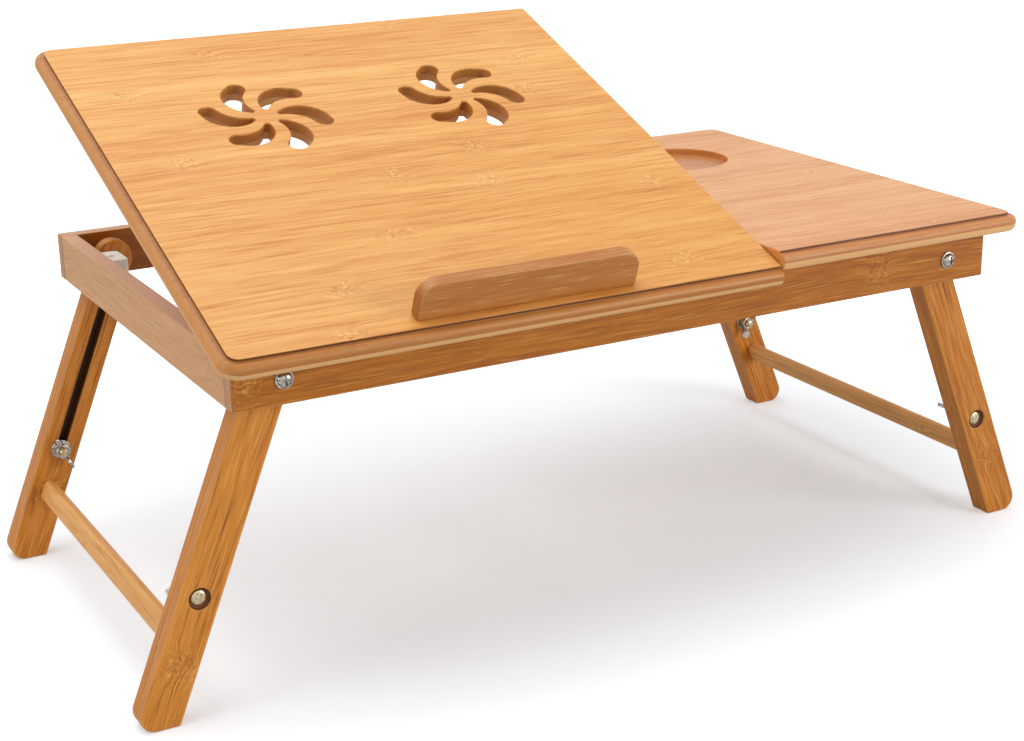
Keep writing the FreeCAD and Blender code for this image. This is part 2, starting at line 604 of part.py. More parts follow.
def make_ledge(ledge_screws):
    """Bar near the front edge of the tilting top that stops a laptop or book."""
    body = new_body("stop_ledge_blank")
    sketch = new_sketch(body, "XZ_Plane")
    draw_rectangle(sketch, "(-sizes.ledge_length / 2)", "(sizes.ledge_length / 2)", "0", "sizes.ledge_high")
    pad = add_pad(body, sketch, "sizes.ledge_thick", backwards=True)
    top_z = pad.Shape.BoundBox.ZMax
    add_fillet(body, pad, "sizes.ledge_corner", lambda edge: along_y(edge) and edge.ZMax > top_z - TINY)
    place(body, placed(ledge_middle(), f"({TILT_FRONT} + sizes.ledge_from_front)",
                       "(sizes.hinge_offset + sizes.top_thick)"))
    keep(cut("stop_ledge", body, [ledge_screws]), "stop_ledge", TILT_PLACE)


# ---------------------------------------------------------------- hinges of the tilting top

def hinge_x(end):
    """Middle of the left or right hinge along its axis."""
    if end < 0:
        return f"(-{HALF_LENGTH} + sizes.left_hinge_from_end)"
    return f"({JOINT_X} - sizes.right_hinge_from_joint)"


def knuckle(name, start, length, hole):
    """Barrel of a leaf along local X, from one X on."""
    turned = placed(start, "0", "0", "0;1;0", "90")
    return (cylinder(f"{name}_barrel", "sizes.knuckle_radius", length, turned),
            cylinder(f"{name}_hole", hole, length, turned))


def outer_knuckle_length():
    return "(sizes.hinge_length / 3 - sizes.knuckle_gap)"


def fixed_leaf(name):
    """Leaf on the rail's inner face, with the two outer knuckles; local origin on the hinge axis."""
    clear = "(sizes.knuckle_radius + sizes.leaf_clear)"
    y = "(-sizes.hinge_offset)"
    solids = [box(f"{name}_plate", "sizes.hinge_length", "sizes.leaf_thick",
                  f"(sizes.leaf_reach - {clear})",
                  placed("(-sizes.hinge_length / 2)", y, "(-sizes.leaf_reach)"))]
    holes = []
    for word, start in (("left", "(-sizes.hinge_length / 2)"),
                        ("right", f"(sizes.hinge_length / 2 - {outer_knuckle_length()})")):
        solids.append(box(f"{name}_{word}_tongue", outer_knuckle_length(), "sizes.leaf_thick", clear,
                          placed(start, y, f"(-{clear})")))
        barrel, hole = knuckle(f"{name}_{word}", start, outer_knuckle_length(), "sizes.hinge_pin")
        solids.append(barrel)
        holes.append(hole)
    return cut(f"{name}_drilled", fuse(f"{name}_solid", solids), holes)


def moving_leaf(name):
    """Leaf under the tilting top, with the middle knuckle; local origin on the hinge axis."""
    clear = "(sizes.knuckle_radius + sizes.leaf_clear)"
    z = "(sizes.hinge_offset - sizes.leaf_thick)"
    inner_long = "(sizes.hinge_length / 3)"
    start = f"(-{inner_long} / 2)"
    barrel, hole = knuckle(name, start, inner_long, "(sizes.hinge_pin + sizes.running_play)")
    solids = [box(f"{name}_plate", "sizes.hinge_length", f"(sizes.leaf_reach - {clear})",
                  "sizes.leaf_thick", placed("(-sizes.hinge_length / 2)", clear, z)),
              box(f"{name}_tongue", inner_long, clear, "sizes.leaf_thick", placed(start, "0", z)),
              barrel]
    return cut(f"{name}_drilled", fuse(f"{name}_solid", solids), [hole])


def make_leaf_screws():
    """Screws of the fixed hinge leaves, driven into the front rail."""
    screws = []
    for hand, end in LEFT_AND_RIGHT:
        for out in (-1, 1):
            spot = placed(f"({hinge_x(end)} + {out} * sizes.leaf_screw_across)",
                          f"(-{INSIDE_Y} + sizes.leaf_thick)", f"({HINGE_Z} - sizes.leaf_screw_down)",
                          "1;0;0", "90")
            screws.append(wood_screw(f"leaf_screw_{hand}_{len(screws)}", "small", "sizes.leaf_screw_long",
                                     spot))
    return keep(group("hinge_screws_frame", screws), "hinge_screws_frame")


def make_hinges(frame_screws, tilt_screws):
    """Two butt hinges: fixed leaf and pin on the frame, moving leaf on the tilting top."""
    pins = []
    for hand, end in LEFT_AND_RIGHT:
        axis_spot = placed(hinge_x(end), HINGE_Y, HINGE_Z)
        fixed = place(fixed_leaf(f"hinge_fixed_{hand}"), axis_spot)
        keep(cut(f"hinge_leaf_frame_{hand}", fixed, [frame_screws]), f"hinge_leaf_frame_{hand}")
        pins.append(cylinder(f"hinge_pin_{hand}", "sizes.hinge_pin", "sizes.hinge_length",
                             placed(f"({hinge_x(end)} - sizes.hinge_length / 2)", HINGE_Y, HINGE_Z,
                                    "0;1;0", "90")))
        moving = place(moving_leaf(f"hinge_moving_{hand}"), placed(hinge_x(end), "0", "0"))
        keep(cut(f"hinge_leaf_top_{hand}", moving, [tilt_screws]), f"hinge_leaf_top_{hand}", TILT_PLACE)
    keep(group("hinge_pins", pins), "hinge_pins")


# ---------------------------------------------------------------- prop

def clip_middle(end):
    out = "(sizes.prop_width / 2 + sizes.prop_rod + sizes.clip_play + sizes.clip_width / 2)"
    return f"({PROP_X} + {end} * {out})"


def clip_low():
    return "(-sizes.prop_rod - sizes.clip_cover)"


def make_prop_clips(clip_screws):
    """Two nylon clips under the tilting top in which the ends of the prop turn."""
    clips = []
    for hand, end in LEFT_AND_RIGHT:
        left = f"({clip_middle(end)} - sizes.clip_width / 2)"
        block = box(f"prop_clip_{hand}_block", "sizes.clip_width", "sizes.clip_long",
                    f"(sizes.hinge_offset - {clip_low()})",
                    placed(left, "(sizes.prop_reach - sizes.clip_long / 2)", clip_low()))
        bore = cylinder(f"prop_clip_{hand}_bore", "(sizes.prop_rod + sizes.running_play)",
                        "sizes.clip_width", placed(left, "sizes.prop_reach", "0", "0;1;0", "90"))
        clips.append(cut(f"prop_clip_{hand}", block, [bore, clip_screws]))
    keep(group("prop_clips", clips), "prop_clips", TILT_PLACE)


def make_prop():
    """Steel rod bent to a U: two short pins, two arms and a foot that stands over the rack."""
    half = "(sizes.prop_width / 2)"
    rods = [cylinder("prop_foot", "sizes.prop_rod", "sizes.prop_width",
                     placed(f"(-{half})", "sizes.prop_reach", "0", "0;1;0", "90"))]
    for hand, end in LEFT_AND_RIGHT:
        x = f"({end} * {half})"
        rods.append(cylinder(f"prop_arm_{hand}", "sizes.prop_rod", "sizes.prop_reach",
                             placed(x, "0", "0", "1;0;0", "-90")))
        rods.append(cylinder(f"prop_pin_{hand}", "sizes.prop_rod", "sizes.prop_pin",
                             placed(x, "0", "0", "0;1;0", f"({end} * 90)")))
        for word, y in (("top", "0"), ("low", "sizes.prop_reach")):
            bend = DOC.addObject("Part::Sphere", f"prop_bend_{word}_{hand}")
            bend.setExpression("Radius", "sizes.prop_rod")
            rods.append(place(bend, placed(x, y, "0")))
    keep(fuse("prop_rod", rods), "prop_rod", PROP_PLACE)


# ---------------------------------------------------------------- drawer

def make_drawer_runners():
    """Runners under the fixed top, each with a lip on which the drawer slides."""
    start = f"({MIDDLE_BAR_X} + sizes.middle_bar_thick)"
    length = f"({DRAWER_FRONT_X} - sizes.drawer_gap - {start})"
    for word, side in FRONT_AND_BACK:
        inner_y = f"({DRAWER_HALF} - sizes.runner_thick)"
        web_y = inner_y if side > 0 else f"(-{DRAWER_HALF})"
        lip_y = f"({inner_y} - sizes.runner_lip)" if side > 0 else f"(-{inner_y})"
        web = box(f"drawer_runner_{word}_web", length, "sizes.runner_thick", "sizes.rail_height",
                  placed(start, web_y, RAIL_LOW))
        lip = box(f"drawer_runner_{word}_lip", length, "sizes.runner_lip", "sizes.runner_lip_thick",
                  placed(start, lip_y, RAIL_LOW))
        keep(fuse(f"drawer_runner_{word}", [web, lip]), f"drawer_runner_{word}")


def make_drawer_stop():
    """Strip under the fixed top that catches the drawer's back."""
    strip = box("drawer_stop", "sizes.stop_thick", "(2 * sizes.stop_half_length)", "sizes.stop_high")
    x = f"({HALF_LENGTH} - sizes.stop_from_end - sizes.stop_thick)"
    keep(strip, "drawer_stop", placed(x, "(-sizes.stop_half_length)", f"({RAIL_TOP} - sizes.stop_high)"))


def make_drawer():
    """Front with a finger notch, two sides, back, and a bottom let into grooves all round."""
    inner_half = f"({DRAWER_BOX_HALF} - sizes.drawer_side_thick)"
    back_face = f"({DRAWER_INNER_X} + sizes.drawer_back_thick)"
    bottom = box("drawer_bottom", f"({DRAWER_FRONT_X} - {back_face} + 2 * sizes.drawer_groove)",
                 f"(2 * ({inner_half} + sizes.drawer_groove))", "sizes.drawer_bottom_thick")
    keep(bottom, "drawer_bottom", placed(f"({back_face} - sizes.drawer_groove)",
                                         f"(-{inner_half} - sizes.drawer_groove)",
                                         f"({DRAWER_LOW} + sizes.drawer_bottom_up)"))
    make_drawer_front(bottom)
    side_long = f"({DRAWER_FRONT_X} - {DRAWER_INNER_X})"
    for word, side in FRONT_AND_BACK:
        y = inner_half if side > 0 else f"(-{DRAWER_BOX_HALF})"
        board = box(f"drawer_side_{word}_board", side_long, "sizes.drawer_side_thick",
                    "sizes.drawer_side_high", placed(DRAWER_INNER_X, y, DRAWER_LOW))
        keep(cut(f"drawer_side_{word}", board, [bottom]), f"drawer_side_{word}")
    board = box("drawer_back_board", "sizes.drawer_back_thick", f"(2 * {inner_half})",
                "sizes.drawer_back_high", placed(DRAWER_INNER_X, f"(-{inner_half})", DRAWER_LOW))
    keep(cut("drawer_back", board, [bottom]), "drawer_back")


def make_drawer_front(bottom):
    low = f"({RAIL_LOW} + sizes.drawer_gap)"
    half = f"({DRAWER_HALF} - sizes.drawer_gap)"
    high = f"({RAIL_TOP} - 2 * sizes.drawer_gap - {low})"
    board = box("drawer_front_board", "sizes.drawer_front_thick", f"(2 * {half})", high,
                placed(DRAWER_FRONT_X, f"(-{half})", low))
    notch_z = f"({low} + {high} - sizes.notch_deep + sizes.notch_radius)"
    notch = cylinder("drawer_front_notch", "sizes.notch_radius", "sizes.drawer_front_thick",
                     placed(DRAWER_FRONT_X, "0", notch_z, "0;1;0", "90"))
    keep(cut("drawer_front", board, [bottom, notch]), "drawer_front")


# ---------------------------------------------------------------- legs

def foot_z(end, x):
    """Height in the leg's own frame at which the splayed leg meets the floor."""
    return f"(-sizes.leg_reach - {end} * {x} * tan(sizes.leg_splay))"


def leg_board(name, end, side, top_z, thick, start_y):
    """Board of a leg in the pair's frame, its foot cut level with the floor, well rounded outside."""
    half = "(sizes.leg_width / 2)"
    other = f"(-{half})"
    body = new_body(name)
    sketch = new_sketch(body, "XZ_Plane")
    draw_polygon(sketch, [(other, foot_z(end, other)), (half, foot_z(end, half)), (half, top_z),
                          (other, top_z)])
    pad = add_pad(body, sketch, thick, backwards=side < 0)
    extent = pad.Shape.BoundBox
    outer_x, inner_x = (extent.XMax, extent.XMin) if end > 0 else (extent.XMin, extent.XMax)
    middle_z = extent.Center.z
    outside = add_fillet(body, pad, "sizes.foot_round",
                         lambda edge: along_y(edge) and at_x(edge, outer_x) and edge.ZMax < middle_z)
    rounded = add_fillet(body, outside, "sizes.foot_inner_round",
                         lambda edge: along_y(edge) and at_x(edge, inner_x) and edge.ZMax < middle_z)
    place(body, placed("0", f"({side} * ({LEG_FACE_Y} - {start_y}))", "0"))
    return body, rounded


def make_upper_leg(word, side, hand, end):
    """Outer leg board: rounded round the pivot, with pockets for the bolt head and the pivot nut."""
    name = f"upper_leg_{word}_{hand}"
    body, _ = leg_board(f"{name}_blank", end, side, "0", "sizes.outer_board", "0")
    eye = new_sketch(body, "XZ_Plane")
    draw_circle(eye, "0", "0", "(sizes.leg_width / 2)")
    add_pad(body, eye, "sizes.outer_board", backwards=side < 0)
    nut_deep = "(sizes.nut_high + 2 * sizes.spacer_play)"
    nut_floor_y = f"({LEG_FACE_Y} - sizes.outer_board + {nut_deep})"
    bolt_z = "(-sizes.bolt_reach)"
    tools = [cylinder(f"{name}_pivot_hole", "(sizes.pivot_radius + sizes.running_play)",
                      "sizes.outer_board", facing_in("0", side, LEG_FACE_Y, "0")),
             cylinder(f"{name}_nut_pocket", "sizes.nut_pocket", nut_deep,
                      facing_in("0", side, nut_floor_y, "0")),
             cylinder(f"{name}_bolt_hole", "(sizes.bolt_radius + sizes.running_play)", "sizes.outer_board",
                      facing_in("0", side, LEG_FACE_Y, bolt_z)),
             cylinder(f"{name}_bolt_pocket", "sizes.bolt_pocket", "sizes.bolt_pocket_deep",
                      facing_in("0", side, LEG_FACE_Y, bolt_z))]
    keep(cut(name, body, tools), name, leg_pair_place(end))


def make_extension_leg(word, side, hand, end, crossbar_screws):
    """Inner leg board that slides down on the bolt along its slot."""
    name = f"extension_leg_{word}_{hand}"
    start = "(sizes.outer_board + sizes.board_gap)"
    body, rounded = leg_board(f"{name}_blank", end, side, "(-sizes.inner_top)", "sizes.inner_board", start)
    top_z = rounded.Shape.BoundBox.ZMax
    add_fillet(body, rounded, "sizes.inner_top_round",
               lambda edge: along_y(edge) and edge.ZMax > top_z - TINY)
    slot_radius = "(sizes.bolt_radius + sizes.slot_play)"
    outer_y = f"({LEG_FACE_Y} - {start})"
    middle = box(f"{name}_slot_middle", f"(2 * {slot_radius})", "sizes.inner_board",
                 "(sizes.bolt_reach - sizes.slot_top)")
    slot_y = f"(-{outer_y})" if side < 0 else f"({outer_y} - sizes.inner_board)"
    place(middle, placed(f"(-{slot_radius})", slot_y, "(-sizes.bolt_reach)"))
    tools = [middle, crossbar_screws]
    for spot, z in (("low", "(-sizes.bolt_reach)"), ("high", "(-sizes.slot_top)")):
        tools.append(cylinder(f"{name}_slot_{spot}", slot_radius, "sizes.inner_board",
                              facing_in("0", side, outer_y, z)))
    keep(cut(name, body, tools), name, leg_pair_place(end))


def make_crossbar_screws(hand):
    """Screws from the extension boards' outer faces into the crossbar's ends, in the pair's frame."""
    start = f"({LEG_FACE_Y} - sizes.outer_board - sizes.board_gap)"
    screws = [wood_screw(f"crossbar_screw_{word}_{hand}", "large", "sizes.crossbar_screw_long",
                         facing_in("0", side, start, "(-sizes.crossbar_reach)"))
              for word, side in FRONT_AND_BACK]
    return group(f"crossbar_screws_{hand}_inner", screws)


def make_crossbar(hand, end, screws):
    """Flat bar, on edge, between the two extension boards of a pair."""
    body = new_body(f"crossbar_{hand}_blank")
    sketch = new_sketch(body, "XZ_Plane", f"(-{CROSSBAR_HALF})")
    draw_rectangle(sketch, "(-sizes.crossbar_thick / 2)", "(sizes.crossbar_thick / 2)",
                   "(-sizes.crossbar_reach - sizes.crossbar_width / 2)",
                   "(-sizes.crossbar_reach + sizes.crossbar_width / 2)")
    pad = add_pad(body, sketch, f"(2 * {CROSSBAR_HALF})")
    add_fillet(body, pad, "sizes.crossbar_round", along_y)
    keep(cut(f"crossbar_{hand}", body, [screws]), f"crossbar_{hand}", leg_pair_place(end))


def make_clamp_bolts(hand, end):
    """Round-head bolts, sunk in the upper legs, and the washers under their wing nuts."""
    bolts = []
    washers = []
    for word, side in FRONT_AND_BACK:
        spot = facing_in("0", side, LEG_FACE_Y, "(-sizes.bolt_reach)")
        seat = "sizes.bolt_pocket_deep"
        edge = cylinder(f"bolt_edge_{word}_{hand}", "sizes.bolt_head", "sizes.bolt_head_edge",
                        placed("0", "0", f"({seat} - sizes.bolt_head_edge)"))
        dome = cone(f"bolt_dome_{word}_{hand}", "(sizes.bolt_head / 2)", "sizes.bolt_head",
                    "sizes.bolt_head_dome",
                    placed("0", "0", f"({seat} - sizes.bolt_head_edge - sizes.bolt_head_dome)"))
        shank = cylinder(f"bolt_shank_{word}_{hand}", "sizes.bolt_radius", f"({BOLT_END} - {seat})",
                         placed("0", "0", seat))
        bolts.append(fuse(f"bolt_{word}_{hand}", [edge, dome, shank], spot))
        washer = ring(f"clamp_washer_{word}_{hand}_ring", "sizes.clamp_washer", "sizes.bolt_radius",
                      "sizes.clamp_washer_thick", placed("0", "0", CLAMP_FACE))
        washers.append(place(group(f"clamp_washer_{word}_{hand}", [washer]), spot))
    keep(group(f"leg_bolts_{hand}", bolts), f"leg_bolts_{hand}", leg_pair_place(end))
    keep(group(f"clamp_washers_{hand}", washers), f"clamp_washers_{hand}", leg_pair_place(end))


def make_wing_nut(word, side, hand, end):
    """Wing nut on a leg bolt: hub with two wings that stand away from the leg, turned as tightened."""
    name = f"wing_nut_{word}_{hand}"
    span = "sizes.wing_half_span"
    body = new_body(f"{name}_blank")
    wings = new_sketch(body, "XZ_Plane", "(-sizes.wing_thick / 2)")
    low = f"({WING_FACE} + sizes.washer_thick)"
    high = f"({WING_FACE} + sizes.wing_high)"
    shoulder = f"({WING_FACE} + sizes.wing_shoulder_high)"
    draw_polygon(wings, [("(-sizes.wing_hub)", low), ("sizes.wing_hub", low), (span, shoulder),
                         (span, high), ("sizes.wing_tip_from", high), ("sizes.wing_saddle", shoulder),
                         ("(-sizes.wing_saddle)", shoulder), ("(-sizes.wing_tip_from)", high),
                         (f"(-{span})", high), (f"(-{span})", shoulder)])
    add_pad(body, wings, "sizes.wing_thick")
    hub = new_sketch(body, "XY_Plane", WING_FACE)
    draw_circle(hub, "0", "0", "sizes.wing_hub")
    add_pad(body, hub, "sizes.wing_hub_high")
    thread = cylinder(f"{name}_thread", "(sizes.bolt_radius + sizes.running_play)", BOLT_END)
    nut = cut(f"{name}_threaded", body, [thread])
    place(nut, placed("0", "0", "0", "0;0;1", f"({end} * sizes.wing_rest_turn)"))
    on_bolt = place(group(f"{name}_on_bolt", [nut]),
                    facing_in("0", side, LEG_FACE_Y, "(-sizes.bolt_reach)"))
    keep(group(name, [on_bolt]), name, leg_pair_place(end))


def make_leg_pairs():
    for hand, end in LEFT_AND_RIGHT:
        screws = make_crossbar_screws(hand)
        for word, side in FRONT_AND_BACK:
            make_upper_leg(word, side, hand, end)
            make_extension_leg(word, side, hand, end, screws)
            make_wing_nut(word, side, hand, end)
        make_crossbar(hand, end, screws)
        keep(group(f"crossbar_screws_{hand}", [screws]), f"crossbar_screws_{hand}", leg_pair_place(end))
        make_clamp_bolts(hand, end)


# ---------------------------------------------------------------- the whole stand

def make_frame():
    pivot_screws = make_pivot_hardware()
    rack_screws = make_rack_screws()
    leaf_screws = make_leaf_screws()
    block_screws = make_block_screws()
    make_long_rails(pivot_screws, rack_screws, leaf_screws)
    make_left_end_rail(block_screws)
    make_right_end_stubs()
    make_middle_bar()
    make_rack_bar(rack_screws)
    make_lock_blocks(block_screws)
    make_fixed_top()
    return leaf_screws


def make_tilting_part(frame_screws):
    leaf, clip, ledge = make_tilt_screws()
    make_tilt_top(leaf, clip, ledge)
    make_ledge(ledge)
    make_hinges(frame_screws, leaf)
    make_prop_clips(clip)
    keep(group("tilt_screws", [leaf, clip, ledge]), "tilt_screws", TILT_PLACE)
    make_prop()


def check_and_write():
    """Stop if any object failed, then write each piece to a file of its own."""
    DOC.recompute()
    for item in DOC.Objects:
        if "Invalid" in item.State or "Error" in item.State:
            raise ValueError(f"{item.Name} failed: {item.State}")
    os.makedirs("parts", exist_ok=True)
    for piece in PIECES:
        if piece.Shape.isNull() or not piece.Shape.isValid():
            raise ValueError(f"{piece.Label} has no valid shape")
        piece.Shape.exportStep(f"parts/{piece.Label}.step")
        print(f"{piece.Label}: {len(piece.Shape.Solids)} solids, {piece.Shape.Volume:.1f} mm3")


make_sheet()
make_tilting_part(make_frame())
make_drawer_runners()
make_drawer_stop()
make_drawer()
make_leg_pairs()
check_and_write()
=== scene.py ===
"""Looks of a folding bamboo laptop stand with a drawer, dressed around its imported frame."""
import functools
import json
import logging
import math
from collections.abc import Callable, Iterator
from dataclasses import dataclass, field, replace
from enum import Enum

import bmesh
import bpy
import numpy as np
from mathutils import Matrix, Vector, geometry

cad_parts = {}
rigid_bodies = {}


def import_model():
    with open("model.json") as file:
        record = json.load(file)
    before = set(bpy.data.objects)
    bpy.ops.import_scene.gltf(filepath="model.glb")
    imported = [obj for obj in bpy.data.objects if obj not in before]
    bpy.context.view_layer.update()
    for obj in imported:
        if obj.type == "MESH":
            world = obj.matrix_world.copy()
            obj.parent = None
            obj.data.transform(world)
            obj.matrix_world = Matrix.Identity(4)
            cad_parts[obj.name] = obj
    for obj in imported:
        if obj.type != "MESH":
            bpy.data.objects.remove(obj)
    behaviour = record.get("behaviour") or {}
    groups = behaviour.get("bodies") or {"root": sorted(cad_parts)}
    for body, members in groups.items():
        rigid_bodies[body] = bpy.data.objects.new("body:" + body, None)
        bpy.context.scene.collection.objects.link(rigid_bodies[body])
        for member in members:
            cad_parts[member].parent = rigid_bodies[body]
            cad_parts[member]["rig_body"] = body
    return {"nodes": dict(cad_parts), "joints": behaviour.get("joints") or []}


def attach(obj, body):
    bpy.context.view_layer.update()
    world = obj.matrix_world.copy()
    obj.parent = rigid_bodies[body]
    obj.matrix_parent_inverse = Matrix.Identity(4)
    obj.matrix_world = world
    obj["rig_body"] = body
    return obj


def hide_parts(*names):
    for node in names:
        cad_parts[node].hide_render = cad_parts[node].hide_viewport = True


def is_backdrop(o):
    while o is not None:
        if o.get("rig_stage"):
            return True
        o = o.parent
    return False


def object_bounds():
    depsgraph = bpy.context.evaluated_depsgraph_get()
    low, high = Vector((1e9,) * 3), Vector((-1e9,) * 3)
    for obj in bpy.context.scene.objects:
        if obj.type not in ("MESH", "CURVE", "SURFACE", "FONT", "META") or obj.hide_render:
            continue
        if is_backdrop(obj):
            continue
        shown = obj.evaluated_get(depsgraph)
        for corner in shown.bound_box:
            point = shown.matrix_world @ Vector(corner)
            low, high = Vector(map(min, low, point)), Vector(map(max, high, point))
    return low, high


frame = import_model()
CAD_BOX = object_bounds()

MM = 0.001
MERGE = 1e-6
FLAT_DEGREES, SHARP_DEGREES, TURNED_SHARP_DEGREES = 0.6, 32, 35
LEG_WIDTH_MM = 25.0
OUTER_BOARD_MM = 9.0
X_AXIS, Y_AXIS = Vector((1, 0, 0)), Vector((0, 1, 0))
# a map range takes a value, the low and high that it comes from, and the low and high that it goes to
MAP_RANGE, VECTOR_MATH, POINT = "ShaderNodeMapRange", "ShaderNodeVectorMath", "ShaderNodeCombineXYZ"
NOISE, ATTRIBUTE, BUMP = "ShaderNodeTexNoise", "ShaderNodeAttribute", "ShaderNodeBump"
SHADER, OUTPUT = "ShaderNodeBsdfPrincipled", "ShaderNodeOutputMaterial"
BOOLEAN, TRANSFORM = "GeometryNodeMeshBoolean", "GeometryNodeTransform"
MIX_FACTOR, MIX_A, MIX_B, MIX_RESULT = 0, 6, 7, 2
log = logging.getLogger("laptop_stand")
Socket = bpy.types.NodeSocket
Numbers = tuple[float, ...]
Adder = functools.partial  # add_node for one tree


# ---------------- nodes and colours

class Sum(Enum):
    """What a Math node works out, by the name of its operation."""

    ABSOLUTE, ADD, DIVIDE, FLOOR, FRACT, GREATER_THAN = range(6)
    LESS_THAN, MAXIMUM, MINIMUM, MULTIPLY, MULTIPLY_ADD, SUBTRACT = range(6, 12)


def linear(hex_colour: str) -> tuple[float, float, float, float]:
    """Turns an sRGB hex colour into linear light.

    Args:
        hex_colour: Six hex digits after a hash sign.

    Returns:
        Red, green, blue and an alpha of 1.
    """
    parts = [int(hex_colour[i:i + 2], 16) / 255 for i in (1, 3, 5)]
    light = [p / 12.92 if p <= 0.04045 else ((p + 0.055) / 1.055) ** 2.4 for p in parts]
    return (*light, 1.0)


def add_node(tree: bpy.types.NodeTree, kind: str | Sum, *inputs: object, out: int | str = 0,
             **settings: object) -> Socket | None:
    """Adds one node with its settings, values and links.

    Args:
        tree: Tree that gets the node.
        kind: Blender's name of the node's type, or the sum of a Math node.
        inputs: Value or output socket of each input in its order, a list of the sockets that
            one input joins, or a dict of such by the input's name or number.
        out: Name or number of the output to give back.
        settings: Properties of the node.

    Returns:
        The chosen output socket, or None for a node without outputs.
    """
    if isinstance(kind, Sum):
        kind, settings["operation"] = "ShaderNodeMath", kind.name
    node = tree.nodes.new(kind)
    for name, value in settings.items():
        setattr(node, name, value)
    for number, given in enumerate(inputs):
        for key, value in (given if isinstance(given, dict) else {number: given}).items():
            for one in value if isinstance(value, list) else [value]:
                if isinstance(one, Socket):
                    tree.links.new(one, node.inputs[key])
                else:
                    node.inputs[key].default_value = one
    return node.outputs[out] if len(node.outputs) else None


def new_material(name: str) -> tuple[bpy.types.Material, Adder]:
    """Makes an empty node material.

    Args:
        name: Name of the material.

    Returns:
        The material, and a function that adds a node to its tree.
    """
    made = bpy.data.materials.new(name)
    made.use_nodes = True
    made.node_tree.nodes.clear()
    return made, functools.partial(add_node, made.node_tree)


def mix_hue(node: Adder, colour: object, hue: str, share: object, *limits: object) -> Socket:
    """Mixes a share of a hue into a colour.

    Args:
        node: Adds a node to the material.
        colour: Colour socket, or red, green, blue and alpha in linear light.
        hue: sRGB hex colour that is mixed in.
        share: Share of the hue, from 0 to 1.
        limits: Factors that hold the share back.

    Returns:
        The stained colour.
    """
    for limit in limits:
        share = node(Sum.MULTIPLY, share, limit)
    parts = {MIX_FACTOR: share, MIX_A: colour, MIX_B: linear(hue)}
    return node("ShaderNodeMix", parts, out=MIX_RESULT, data_type="RGBA")


# ---------------- finishes

@dataclass(frozen=True)
class Strip:
    """One glued strip of a top: tone from 0, pale, to 1, deep, and its knuckles in mm from the left end."""

    tone: float
    knuckles: Numbers = ()


